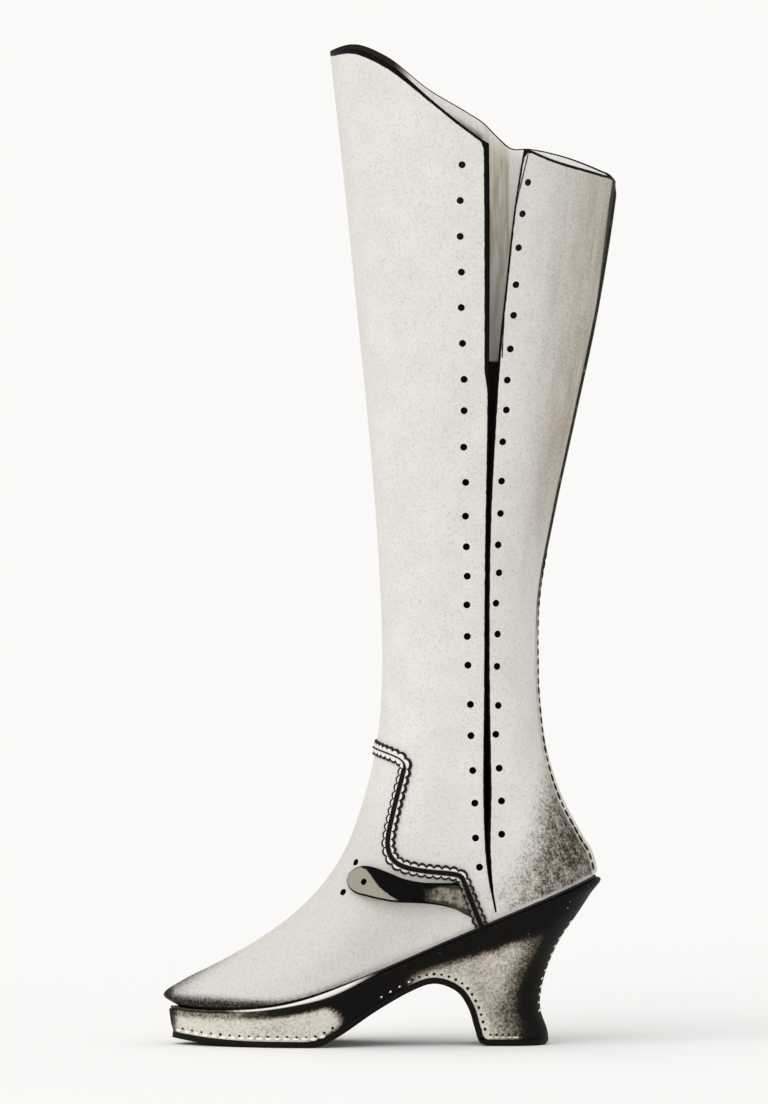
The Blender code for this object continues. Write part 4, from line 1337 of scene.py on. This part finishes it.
def make_block(material):
    """Platform, waist and heel in one."""
    top = len(SOLE_RINGS) - 1
    inset = RAND_WIDTH + SEAM_SPACE
    rings = [ring_points(ring_at(SOLE_RINGS, level)) for level in np.arange(0.0, top - 0.45, 0.125)]
    lowest = rings[-1]
    edge = ring_points(SOLE_RINGS[top], block_edge)
    for share in (0.2, 0.4, 0.6, 0.75, 0.86, 0.94, 1.0):
        ring = mix(lowest, edge, ease(share) * 0.15 + share * 0.85)
        tip = rise(ring[:, 0], 92.0, 116.0)
        drawn = TIP_INSET * share ** 8 * tip
        ring[:, 0] += TIP_SWELL * math.sin(math.pi * share ** 1.7) * tip - drawn
        ring[:, 2] -= FEATHER_SLOPE * drawn
        rings.append(ring)
    for height in (block_edge, rand_top):
        rings.append(ring_points(draw_in(SOLE_RINGS[top], inset), height))
    block = stack("covered_block", rings, material)
    under = side_line(SOLE_PROFILE, even_spots(SOLE_PROFILE, 10))
    roof = under + (OUTSOLE_THICK + SEAM_SPACE) * to_left(under)
    base = TOP_PIECE_THICK + SEAM_SPACE
    roof = roof[(roof[:, 1] > base) | (roof[:, 0] < 0)]
    outline = [(-200.0, roof[0, 1] + 10.0), *map(tuple, roof), (roof[-1, 0] + 0.5, base),
               (200.0, base), (200.0, -20.0), (-200.0, -20.0)]
    return cut(block, prism("sole_tool", outline, 80.0))


block = make_block(block_finish())
sharpen(block)
print("block before shading:", len(block.data.polygons), "faces")

# %% Shade of the block
FOOT_CORNER = 4.5
FOOT_CORNER_X = 51.4


def edge_line(first_x, last_x, above):
    """A line on the block that keeps a distance above the outsole."""
    under = side_line(SOLE_PROFILE, even_spots(SOLE_PROFILE, 30))
    line = under + (OUTSOLE_THICK + SEAM_SPACE + above) * to_left(under)
    keep = (line[:, 0] > first_x) & (line[:, 0] < last_x) & (line[:, 1] > 5.0)
    return line[keep]


def shade_block(block):
    """How light the cover is at each point, painted shade and highlight included, and the black corner at
    the front of the heel's foot.
    """
    x, _, z = places(block).T
    under_top = block_edge(x) - z
    behind = np.interp(z, SOLE_RINGS[:, 3], SOLE_RINGS[:, 2]) - x
    # Painted shade along the platform's top under the upper, darker towards the waist.
    rim = mix(0.50, 0.05, rise(x, -100.0, -40.0))
    lower = mix(3.0, 4.6, rise(x, -110.0, -50.0))
    platform = mix(rim, 0.98, rise(under_top, lower - 1.8, lower + 1.8))
    platform -= 0.10 * np.exp(-((x + 66.0) / 16.0) ** 2)
    # Painted shade where the waist turns in, and at the platform's front end.
    end = -28.0 - 0.13 * (z - 15.0) ** 2
    platform *= rise(x, end + 3.5, end - 3.5) * mix(0.12, 1.0, rise(x, -123.4, -117.4))
    # Painted shade along the heel's top, under the upper.
    band = 5.2 + 0.12 * (x - 16.0)
    # A painted highlight on the heel's side, lighter higher up and brightest above the arch.
    core = mix(0.62, 0.80, rise(z, 8.0, 38.0))
    arch = edge_line(8.0, 52.0, 0.0)
    gap = np.min(np.hypot(x[:, None] - arch[:, 0], z[:, None] - arch[:, 1]), axis=1)
    core = mix(core, 0.95, rise(gap, 6.5, 3.0) * rise(x, 12.0, 28.0))
    heel = core * rise(under_top, band, band + 8.0) * rise(x, 4.0, 18.0)
    # Painted shade down the back of the heel.
    rear_black = mix(5.0, 3.0, rise(z, 30.0, 60.0))
    heel *= rise(behind, rear_black, rear_black + 23.0)
    mark(block, "tone_light_and_shade", np.maximum(platform, heel))
    corner = FOOT_CORNER - np.stack((x - FOOT_CORNER_X, z - TOP_PIECE_THICK), axis=-1)
    corner = np.where(corner.min(-1) > -2.0, np.linalg.norm(np.maximum(corner, 0.0), axis=-1), 0.0)
    mark(block, "black_border_mm", np.where(x > 40.0, FOOT_CORNER - corner, NO_LINE))


shade_block(block)
hand_over(block, "block_leather", "sole_block")

# %% [markdown]
# ## Rand
# A narrow strip is sewn in between upper and sole. It is pale under the forefoot, where it swells a
# little, greyed at the toe by dirt and painted shade, and painted black along the waist and heel as
# the shadow under the upper. Its outer edge is rounded by a short section of six points.

# %% Rand
RAND_SET_IN = 0.8


def rand_finish():
    """Pale leather, grey at the toe with dirt and painted shade, and painted black from the waist to the
    back as the shadow under the upper.
    """
    material, tree, shade = leather("rand_leather", srgb(236, 232, 225), spread=0.04,
                                    roughness=(0.5, 0.65), gloss=0.25, depth=0.08)
    x = axis_of(tree, own_place(tree), "X")
    toe = ramp(tree, x, -96.0 * MM, -74.0 * MM, 0.95, 0.0)
    # Grey at the toe: dirt and painted shade.
    shade = add_soil_and_shade(tree, shade, srgb(52, 46, 39), toe, speck=500.0, softness=0.35)
    # Black from the waist back: painted shadow under the upper.
    dye(tree, blend(tree, ramp(tree, x, -24.0 * MM, -6.0 * MM), shade, INK_AND_SHADE_BLACK))
    return material


def make_rand():
    """The strip between upper and sole, all round."""
    top = SOLE_RINGS[-1].copy()
    top[2] -= TIP_INSET
    section = ((0.5, 0.0), (0.0, 0.25), (0.0, 0.75), (0.5, 1.0), (RAND_WIDTH - RAND_SET_IN, 1.0),
               (RAND_WIDTH - RAND_SET_IN, 0.0))
    loops = []
    for inset, up in section:
        loops.append(ring_points(draw_in(top, RAND_SET_IN + inset),
                                 lambda x, up=up: mix(rand_bottom(x), rand_top(x), up)))
    count = len(loops[0])
    faces = net_faces(len(loops), count)
    last = (len(loops) - 1) * count
    for i in range(count):
        j = (i + 1) % count
        faces.append([last + i, last + j, j, i])
    return new_object("rand_strip", np.concatenate(loops), faces, (rand_finish(),))


hand_over(make_rand(), "rand_leather", "rand")

# %% [markdown]
# ## Outsole and top piece
# The outsole is one strip of thick leather from the toe, up through the arch and down the breast of
# the heel. The top piece is the wearing lift under the heel. Both have waxed black edges, brown
# ground faces and corners eased with a bevel.

# %% Outsole and top piece
TOP_PIECE_PROFILE = ((49.1, 3.2), (50.4, 1.9), (52.4, 0.9), (55.0, 0.25), (58.5, 0.0), (63.0, 0.0),
                     (70.0, 0.0), (77.0, 0.0), (82.0, 0.0), (85.3, 0.3), (87.4, 1.0), (88.6, 2.2))
WAX_BLACK = srgb(13, 11, 9)
SOLE_OVERHANG = 0.4


def box_loft(name, low, high, halves, material):
    """A strip through stations that are as wide as their half widths, closed at both ends."""
    stations = np.stack([
        np.stack((line[:, 0], side * halves, line[:, 1]), axis=-1)
        for line, side in ((low, -1), (low, 1), (high, 1), (high, -1))], axis=1)
    count = len(stations)
    faces = net_faces(count, 4)
    faces += [[0, 1, 2, 3], [4 * count - 4 + i for i in range(4)]]
    return new_object(name, stations.reshape(-1, 3), faces, (material,))


def waxed(name, ground):
    """Waxed black sole leather, lighter where it meets the floor."""
    material, tree, shade = leather(name, WAX_BLACK, pores=600.0, spread=0.25, roughness=(0.45, 0.62),
                                    gloss=0.10, depth=0.15)
    way = add(tree, "ShaderNodeNewGeometry").outputs["Normal"]
    down = ramp(tree, axis_of(tree, way, "Z"), -0.92, -0.75, 1.0, 0.0)
    paler = add_soil_and_shade(tree, ground, WAX_BLACK, 0.45, speck=300.0, softness=0.3)
    dye(tree, blend(tree, down, shade, paler))
    return material


def make_outsole():
    """The dark sole under forefoot and waist and down the breast of the heel."""
    spots = np.concatenate((np.linspace(0, 1, 22) ** 2.2, np.linspace(1, 11, 111)[1:]))
    line = side_line(SOLE_PROFILE, spots)
    inner = line + OUTSOLE_THICK * to_left(line)
    halves = width_at(SOLE_RINGS, inner[:, 0], np.maximum(inner[:, 1], 0.5)) + SOLE_OVERHANG
    finish = waxed("outsole_leather", srgb(74, 60, 46))
    piece = box_loft("outsole_strip", line, inner, halves, finish)
    return round_edges(piece, 0.5)


def make_top_piece():
    """The lift under the heel."""
    low = side_line(TOP_PIECE_PROFILE, even_spots(TOP_PIECE_PROFILE, 8))
    high = np.stack((low[:, 0], np.full(len(low), TOP_PIECE_THICK)), axis=-1)
    halves = width_at(SOLE_RINGS, low[:, 0], 0.5) + SOLE_OVERHANG
    finish = waxed("top_piece_leather", srgb(80, 66, 52))
    piece = box_loft("heel_lift", low, high, halves, finish)
    return round_edges(piece, 0.4)


for sole_part, slot, node in ((make_outsole(), "outsole_leather", "outsole"),
                              (make_top_piece(), "top_piece_leather", "heel_top_piece")):
    sharpen(sole_part)
    hand_over(sole_part, slot, node)

# %% [markdown]
# ## A ribbon on the upper
# The trim, the braid and the back strip all lie on the leather. Each is a line of turns and levels
# on the skin, with columns of points set off sideways along the surface and lifted off it. Going
# back through turn and level keeps every column on the round leg, also across its front.

# %% Lines and ribbons on the upper
TRIM_LINE = ((-16.0, 169.6), (-7.3, 166.2), (1.0, 163.6), (6.6, 161.0), (8.6, 157.6), (7.5, 152.0),
             (2.8, 133.5), (-0.2, 120.0), (-0.8, 112.5), (1.4, 106.0), (7.2, 101.8), (19.0, 99.2),
             (34.0, 97.6), (39.2, 96.0), (41.6, 91.6), (45.4, 81.6), (52.6, 64.0))
LEAST_TURN = 0.02


def even_steps(points, step):
    """Positions along a line of points at equal distances, as fractions of point numbers."""
    runs = np.concatenate(([0.0], np.cumsum(np.linalg.norm(np.diff(points, axis=0), axis=1))))
    count = max(int(round(runs[-1] / step)), 2)
    return np.interp(np.linspace(0, runs[-1], count + 1), runs, np.arange(len(points))), runs[-1]


def along(values, positions):
    """Values of a line of points at fractional point numbers."""
    return np.interp(positions, np.arange(len(values)), values)


def trim_path(step):
    """Turns and levels of the trim, from the closed side round the front to the open side."""
    line = side_line(TRIM_LINE, even_spots(TRIM_LINE, 24))
    turns, levels = place_on_side(line[:, 0], line[:, 1])
    first = int(np.argmax(turns > LEAST_TURN))
    last = int(np.argmax(line[:, 1] < feather(line[:, 0]) + SEAM_SPACE)) or len(line)
    turns, levels = turns[first:last], levels[first:last]
    turns = np.concatenate((-turns[::-1], (0.0,), turns))
    levels = np.concatenate((levels[::-1], (levels[0],), levels))
    positions, length = even_steps(skin(turns, levels), step)
    return along(turns, positions), along(levels, positions), length


def ribbon(turns, levels, across, lifts):
    """Points beside a line on the upper: columns set off sideways and lifted, in mm."""
    centre, by_turn, by_level, out = skin_frame(turns, levels)
    run = unit(np.gradient(centre, axis=0))
    side = unit(np.cross(out, run))
    tt, tl, ll, st, sl = (np.sum(a * b, -1) for a, b in (
        (by_turn, by_turn), (by_turn, by_level), (by_level, by_level), (side, by_turn), (side, by_level)))
    det = tt * ll - tl * tl
    turn_step = (st * ll - sl * tl) / det
    level_step = (sl * tt - st * tl) / det
    moved_turn = turns[:, None] + across * turn_step[:, None]
    moved_level = np.maximum(levels[:, None] + across * level_step[:, None], 0.0)
    point, _, _, way = skin_frame(moved_turn, moved_level)
    return point + np.broadcast_to(lifts, across.shape)[..., None] * way, run, way


def ribbon_solid(name, points, material):
    """A closed strip from rows whose columns run once round its section."""
    rows, columns, _ = points.shape
    faces = net_faces(rows, columns)
    faces += [list(range(columns)), list(range((rows - 1) * columns, rows * columns))]
    return new_object(name, points.reshape(-1, 3), faces, (material,))


print("seam of the vamp:", round(trim_path(1.0)[2]), "mm long")

# %% [markdown]
# ## Pinked trim
# The seam between vamp and leg is hidden by a strip whose two edges are cut into small scallops
# with a pinking tool. The strip is pale and its cut edges are dark. Low down, where it runs under
# the latchet towards the sole, it is painted grey as the shade there.

# %% Pinked trim
TRIM_HALF = 3.4
TRIM_THICK = 1.2
SCALLOP_DEEP = 1.7
SCALLOP_PITCH = 4.5
SCALLOP_ROUND = 0.55
TRIM_STEP = 0.29


def eased_section(high, side_high, corner, corner_high):
    """A strip's section with eased upper corners: places across (-1 to 1) and lifts in mm."""
    half = [(1.0, 0.05), (1.0, side_high), (corner, corner_high), (0.6, high)]
    return np.array([(-a, b) for a, b in half] + [(0.0, high)] + half[::-1])


def trim_finish():
    """Pale leather with black rims, and grey painted shade low down."""
    material, tree, shade = leather("trim_leather", srgb(228, 224, 217), pores=1300.0, spread=0.03,
                                    roughness=(0.5, 0.65), gloss=0.25, depth=0.07)
    # Grey painted shade low down, under the latchet.
    shade = add_soil_and_shade(tree, shade, srgb(84, 77, 68), attribute(tree, "low_shade"), speck=500.0, softness=0.4)
    rim = ink_and_shade_mask(tree, attribute(tree, "rim_mm"), width=1.4, unsteady=0.25)
    dye(tree, blend(tree, rim, shade, INK_AND_SHADE_BLACK))
    return material


def make_trim():
    """The scalloped strip over the seam."""
    turns, levels, length = trim_path(TRIM_STEP)
    run = np.linspace(-length / 2, length / 2, len(turns))
    scallop = np.abs(np.sin(math.pi * run / SCALLOP_PITCH)) ** SCALLOP_ROUND
    half = TRIM_HALF - SCALLOP_DEEP / 2 + SCALLOP_DEEP * scallop
    high = SEAM_SPACE + TRIM_THICK
    section = eased_section(high, high - 0.35, 0.93, high - 0.05)
    across = half[:, None] * section[:, 0]
    points, _, _ = ribbon(turns, levels, across, section[:, 1])
    piece = ribbon_solid("pinked_trim", points, trim_finish())
    mark(piece, "rim_mm", half[:, None] - np.abs(across))
    mark(piece, "low_shade", 0.75 * rise(points[..., 2], 97.0, 89.0))
    return piece


trim = make_trim()
sharpen(trim, degrees=70.0)
hand_over(trim, "trim_leather", "seam_trim")

# %% [markdown]
# ## Plaited braid
# A dark braid is sewn along the middle of the trim. A plait is two rows of short leaves that lean
# towards each other, so two rows of beads turned to either side give it, over a thin core that
# closes the gaps. Where it crosses the front only the thin core shows, and the plait is full down
# the side.

# %% Plaited braid
BRAID_HALF = 1.35
BRAID_PITCH = 1.55
BRAID_SECTION = np.array(((-1.0, 0.0), (-0.8, 0.45), (-0.35, 0.62), (0.35, 0.62), (0.8, 0.45), (1.0, 0.0)))
LEAF_LEAN_DEGREES = 27.0
LEAF_SIZE = (2.6, 1.35, 1.05)
LEAF_LIFT = 0.5
LEAVES_BELOW_Z = 157.0
THIN_CORE = 0.34
CORE_STEP = 0.6


def join(piece, *others):
    """Pieces of one make put together in one mesh."""
    def take_in(work):
        for other in others:
            start = len(work.faces)
            work.from_mesh(other.data)
            work.faces.ensure_lookup_table()
            finish = other.data.materials[-1]
            if finish.name not in piece.data.materials:
                piece.data.materials.append(finish)
            number = piece.data.materials.find(finish.name)
            for face in work.faces[start:]:
                face.material_index = number
            bpy.data.objects.remove(other, do_unlink=True)

    rework(piece.data, take_in)
    return piece


def make_braid():
    """The core of the braid with its leaves."""
    low = SEAM_SPACE + TRIM_THICK
    material = leather("braid_thread", srgb(20, 17, 15), pores=2200.0, spread=0.35,
                       roughness=(0.7, 0.85), gloss=0.12, depth=0.05)[0]
    turns, levels, _ = trim_path(CORE_STEP)
    full = mix(THIN_CORE, 1.0, rise(skin(turns, levels)[:, 2], 161.0, 153.0))
    across = BRAID_HALF * full[:, None] * BRAID_SECTION[:, 0]
    points, _, _ = ribbon(turns, levels, across, low + BRAID_SECTION[:, 1])
    core = ribbon_solid("plaited_braid", points, material)
    turns, levels, _ = trim_path(BRAID_PITCH / 2)
    keep = skin(turns, levels)[:, 2] < LEAVES_BELOW_Z
    turns, levels = turns[keep], levels[keep]
    hand = np.where(np.arange(len(turns)) % 2, 1.0, -1.0)[:, None]
    points, run, way = ribbon(turns, levels, hand * BRAID_HALF / 2, low + LEAF_LIFT)
    lean = math.radians(LEAF_LEAN_DEGREES) * hand
    way = way[:, 0]
    runs = np.cos(lean) * run - np.sin(lean) * np.cross(way, run)
    leaves = repeat("braid_leaves", BEADS, points[:, 0], runs, way, LEAF_SIZE, material,
                    vary=0.06, seed=3)
    return join(core, leaves)


braid = make_braid()
hand_over(braid, "braid", "seam_braid")

# %% [markdown]
# ## Back strip
# The back seam of the leg is covered by a narrow strip of the same leather, held by a row of long
# dark stitches on each side. High on the calf the strip is painted dark as the shade on the back
# contour, and low down it is pale.

# %% Back strip
BACK_STRIP_HALF = 4.5
HEEL_STRIP_HALF = 10.5
BACK_STRIP_THICK = 1.0
BACK_STRIP_LOW_Z = 96.9
BACK_STRIP_STEP = 1.6
BELOW_COLLAR = 1.5
COLLAR_BACK_X = 126.2


def back_path(step, low_z, high_z):
    """Turns and levels down the back seam."""
    z = np.linspace(low_z, high_z, 400)
    levels = np.interp(z, UPPER_RINGS[:, 3], np.arange(len(UPPER_RINGS)))
    turns = np.full(len(z), math.pi)
    positions, _ = even_steps(skin(turns, levels), step)
    return along(turns, positions), along(levels, positions)


def strip_half(z):
    """Half width of the strip, which widens over the heel."""
    return mix(HEEL_STRIP_HALF, BACK_STRIP_HALF, rise(z, 145.0, 210.0))


def strip_finish():
    """Pale leather with painted shade that darkens it up the calf."""
    material, tree, shade = leather("strip_leather", srgb(206, 201, 192), pores=1100.0,
                                    roughness=(0.5, 0.65), gloss=0.25, depth=0.08)
    # Dark up the calf: painted shade on the back contour.
    dark = ramp(tree, axis_of(tree, own_place(tree), "Z"), 195.0 * MM, 290.0 * MM)
    dye(tree, add_soil_and_shade(tree, shade, srgb(38, 33, 29), dark, speck=300.0, softness=0.4))
    return material


def make_back_strip():
    """The strip over the back seam, its edges eased and its top thinned out."""
    top_z = float(collar(COLLAR_BACK_X)) - BELOW_COLLAR
    turns, levels = back_path(BACK_STRIP_STEP, BACK_STRIP_LOW_Z, top_z)
    high = SEAM_SPACE + BACK_STRIP_THICK
    section = eased_section(high, high - 0.4, 0.92, high - 0.1)
    z = skin(turns, levels)[:, 2:]
    lifts = mix(0.1, 1.0, rise(z, z[-1], z[-1] - 6.0)) * section[:, 1]
    points, _, _ = ribbon(turns, levels, strip_half(z) * section[:, 0], lifts)
    return ribbon_solid("back_seam_strip", points, strip_finish())


strip = make_back_strip()
sharpen(strip, degrees=70.0)
hand_over(strip, "strip_leather", "back_strip")

# %% [markdown]
# ## Latchet
# The latchet is a loose strap sewn in under the trim. It narrows, turns half over and ends round,
# with one hole. Its pale end shows the grain side, and its middle, which lies turned under, is
# painted black as deep shade. A table gives its place, width, lean and twist, and a rounded
# section is drawn along it.

# %% Latchet shape
LATCHET_THICK = 1.6
LATCHET_HOLE_ACROSS = 3.8
LATCHET_HOLE_OFF = 0.9
LATCHET_PUNCH_LONG = 8.0
# x, z, distance off the leather, width, lean of its end along the strap, twist in degrees
LATCHET = np.array((
    (41.2, 83.1, 1.0, 16.2, -7.6, 0.0), (35.0, 85.2, 1.9, 14.0, -3.0, 8.0),
    (26.0, 86.8, 4.0, 12.4, -0.6, 16.0), (16.0, 87.6, 5.6, 12.2, 0.0, 24.0),
    (6.0, 88.6, 5.8, 14.4, 0.0, 26.0), (-3.0, 90.6, 4.9, 16.4, 0.0, 16.0),
    (-9.5, 92.2, 3.8, 17.0, 0.0, 8.0), (-14.0, 93.0, 3.2, 16.8, 0.0, 2.0),
    (-17.6, 93.6, 2.8, 14.6, 0.0, 0.0), (-20.2, 94.0, 2.6, 10.4, 0.0, 0.0),
    (-22.0, 94.2, 2.4, 3.6, 0.0, 0.0)))


def latchet_section():
    """A strap's section: places across (-1 to 1) and out of its face (-1 to 1)."""
    corner = [(0.97, -0.75), (1.0, -0.3), (1.0, 0.3), (0.97, 0.75), (0.9, 1.0)]
    face = [(across, 1.0) for across in np.linspace(0.8, -0.9, 18)]
    return np.array(corner + face + [(-a, -b) for a, b in corner + face])


def latchet_rows(count):
    """Middles, directions and measures of the strap from its root to its end."""
    spots = np.linspace(0, len(LATCHET) - 1, count)
    table = smooth(np.arange(len(LATCHET)), LATCHET, spots)
    table[:, 3] = np.maximum(table[:, 3], 1.2)
    point, _, _, out = skin_frame(*place_on_side(table[:, 0], table[:, 1]))
    middle = point + table[:, 2:3] * out
    run = unit(np.gradient(middle, axis=0))
    out = unit(out - np.sum(out * run, -1, keepdims=True) * run)
    across = np.cross(out, run)
    twist = np.radians(table[:, 5:6])
    wide = np.cos(twist) * across + np.sin(twist) * out
    face = np.cos(twist) * out - np.sin(twist) * across
    return table, middle, run, wide, face


def make_latchet(material):
    """The strap with its rounded edges and its hole."""
    table, middle, run, wide, face = latchet_rows(160)
    section = latchet_section()
    reach = section[None, :, 0:1] * (table[:, None, 3:4] / 2 * wide[:, None]
                                     + table[:, None, 4:5] * run[:, None])
    points = middle[:, None] + reach + section[None, :, 1:2] * LATCHET_THICK / 2 * face[:, None]
    strap = ribbon_solid("latchet_strap", points, material)
    near = int(np.argmin(np.abs(table[:, 0] - LATCHET_HOLE[0])))
    near = slice(near, near + 1)
    spot = middle[near] + LATCHET_HOLE_OFF * wide[near]
    tool = repeat("latchet_punch", PUNCHES, spot, wide[near], face[near],
                  (LATCHET_HOLE_ACROSS, LATCHET_HOLE_ACROSS, LATCHET_PUNCH_LONG), PUNCHED_EDGE)
    return cut(strap, tool)


print("section of the strap:", len(latchet_section()), "points")

# %% Latchet finish
def latchet_finish():
    """Pale end, middle painted black as shade where it turns under, and grey root, by marks on the mesh.
    """
    material, tree, shade = leather("latchet_leather", srgb(152, 145, 133), pores=1000.0, spread=0.06,
                                    roughness=(0.6, 0.75), gloss=0.05, depth=0.09)
    # Greyer towards the root.
    shade = add_soil_and_shade(tree, shade, srgb(62, 56, 48), attribute(tree, "root_grey"), speck=320.0, softness=0.2)
    # Black middle: painted shade where the strap turns under.
    shade = add_soil_and_shade(tree, shade, INK_AND_SHADE_BLACK, attribute(tree, "turned"), speck=300.0, softness=0.3)
    rim = ink_and_shade_mask(tree, attribute(tree, "rim_mm"), width=0.9, unsteady=0.3)
    dye(tree, blend(tree, rim, shade, INK_AND_SHADE_BLACK))
    return material


def stain_latchet(strap):
    """Where the strap is pale, painted black as shade, and grey."""
    spots = places(strap)
    table, middle, _, wide, _ = latchet_rows(400)
    row = np.argmin(np.linalg.norm(spots[:, None, :] - middle[None, :, :], axis=-1), axis=1)
    offset = np.sum((spots - middle[row]) * wide[row], -1)
    x = spots[:, 0]
    low = offset / np.maximum(table[row, 3] / 2, 0.5)
    first = np.interp(low, (-1.0, -0.7, 0.2, 0.9), (-19.0, -13.5, -6.4, 4.5))
    last = np.interp(low, (-1.0, -0.7, -0.3, 1.0), (46.0, 36.0, 30.0, 28.0))
    # The middle that turns under, painted black as shade.
    mark(strap, "turned", rise(x, first - 0.8, first + 1.2) * rise(x, last, last - 14.0))
    # Greyer towards the root, and more so along its edges there.
    mark(strap, "root_grey", rise(x, 4.0, 18.0) * mix(0.48, 1.0, ease(np.abs(low) * 1.7 - 0.7)))
    mark(strap, "rim_mm", table[row, 3] / 2 - np.abs(offset))


strap = make_latchet(latchet_finish())
sharpen(strap, degrees=60.0)
stain_latchet(strap)
hand_over(strap, "latchet_leather", "latchet")

# %% [markdown]
# ## Thread
# Rows of stitches hold the cover to the sole. Along the platform, the arch, the breast and the foot
# of the heel a pale thread goes in and out of needle holes, whose shade is painted as small dark
# beads, and up the back of the heel it is whipped over the edge. The rows are side-view lines laid
# on the block on both sides of the boot.

# %% Stitch rows on the block
def thread_finish(name, color):
    """Waxed linen thread."""
    return leather(name, color, pores=2600.0, spread=0.08, roughness=(0.55, 0.7), gloss=0.2, depth=0.05)[0]


PALE_THREAD = thread_finish("pale_thread", srgb(238, 233, 224))
DARK_THREAD = thread_finish("dark_thread", srgb(22, 19, 17))
# Small dark beads that paint the shade of the needle holes.
NEEDLE_HOLE_SHADE = thread_finish("needle_hole_shade", srgb(16, 13, 11))


def block_row(line, step, side):
    """Places, runs and ways out along a side-view line on the block."""
    positions, _ = even_steps(line, step)
    x, z = along(line[:, 0], positions), along(line[:, 1], positions)
    nudge = 0.4

    def at(px, pz):
        return np.stack((px, side * width_at(SOLE_RINGS, px, pz), pz), axis=-1)

    point = at(x, z)
    out = unit(np.cross(at(x, z + nudge) - at(x, z - nudge), at(x + nudge, z) - at(x - nudge, z)))
    out *= np.sign(np.sum(out * (0, side, 0), -1, keepdims=True))
    return point, unit(np.gradient(point, axis=0)), out


def sew(name, *rows):
    """Rows of stitches on both sides: a line, the pitch, the size of a stitch and its thread."""
    made = []
    for line, pitch, size, thread in rows:
        for side in (-1.0, 1.0):
            point, run, out = block_row(line, pitch, side)
            made.append(repeat(name, BEADS, point, run, out, size, thread,
                               vary=0.14, seed=5 + len(made)))
    return join(*made)


hand_over(sew("platform_stitches",
              (edge_line(-119.0, -38.0, 1.0), 5.2, (4.0, 1.9, 0.8), PALE_THREAD),
              (edge_line(-116.4, -32.0, 2.5), 5.2, (1.7, 1.5, 0.5), NEEDLE_HOLE_SHADE)), "braid")
hand_over(sew("arch_stitches",
              (edge_line(-5.5, 10.5, 1.8), 6.5, (1.4, 1.0, 0.6), PALE_THREAD),
              (edge_line(8.0, 53.0, 2.0), 4.1, (1.9, 1.7, 0.5), NEEDLE_HOLE_SHADE)), "braid")

# %% Stitches round the foot and up the back of the heel
HEEL_ROW_Z = 6.3


def make_heel_row():
    """The row just above the top piece."""
    x = np.linspace(56.0, 80.0, 60)
    dots = np.stack((x, np.full(len(x), HEEL_ROW_Z)), axis=-1)
    return sew("heel_foot_stitches", (dots, 3.6, (1.6, 1.3, 0.5), NEEDLE_HOLE_SHADE),
               (dots[:36] - (0.0, 1.5), 3.6, (3.0, 0.8, 0.6), PALE_THREAD))


def make_whip_row():
    """Thread whipped over the back edge of the heel."""
    z = np.linspace(19.0, 69.0, 12)
    x = np.interp(z, SOLE_RINGS[:, 3], SOLE_RINGS[:, 2]) - 1.2
    made = []
    for side in (-1.0, 1.0):
        spots = np.stack((x, side * width_at(SOLE_RINGS, x, z), z), axis=-1)
        out = unit(np.tile((0.85, side * 0.5, -0.2), (len(z), 1)))
        run = unit(np.tile((0.45, -side * 0.75, 0.35), (len(z), 1)))
        made.append(repeat("heel_whip_stitches", BEADS, spots, run, out, (3.6, 1.5, 1.2),
                           PALE_THREAD, vary=0.2, seed=9))
    return join(*made)


hand_over(make_heel_row(), "braid")
hand_over(make_whip_row(), "braid")

# %% Stitches of the back seam
BACK_STITCH_PITCH = 5.4


def make_back_stitches():
    """Long dark stitches down both sides of the back strip."""
    turns, levels = back_path(BACK_STITCH_PITCH, 101.0, 275.0)
    set_off = strip_half(skin(turns, levels)[:, 2:]) - 0.9
    made = []
    for hand in (-1.0, 1.0):
        points, run, way = ribbon(turns, levels, hand * set_off, SEAM_SPACE + BACK_STRIP_THICK - 0.05)
        made.append(repeat("back_seam_stitches", BEADS, points[:, 0], run, way[:, 0],
                           (4.8, 2.6, 0.9), DARK_THREAD, vary=0.22, seed=11))
    return join(*made)


hand_over(make_back_stitches(), "braid")
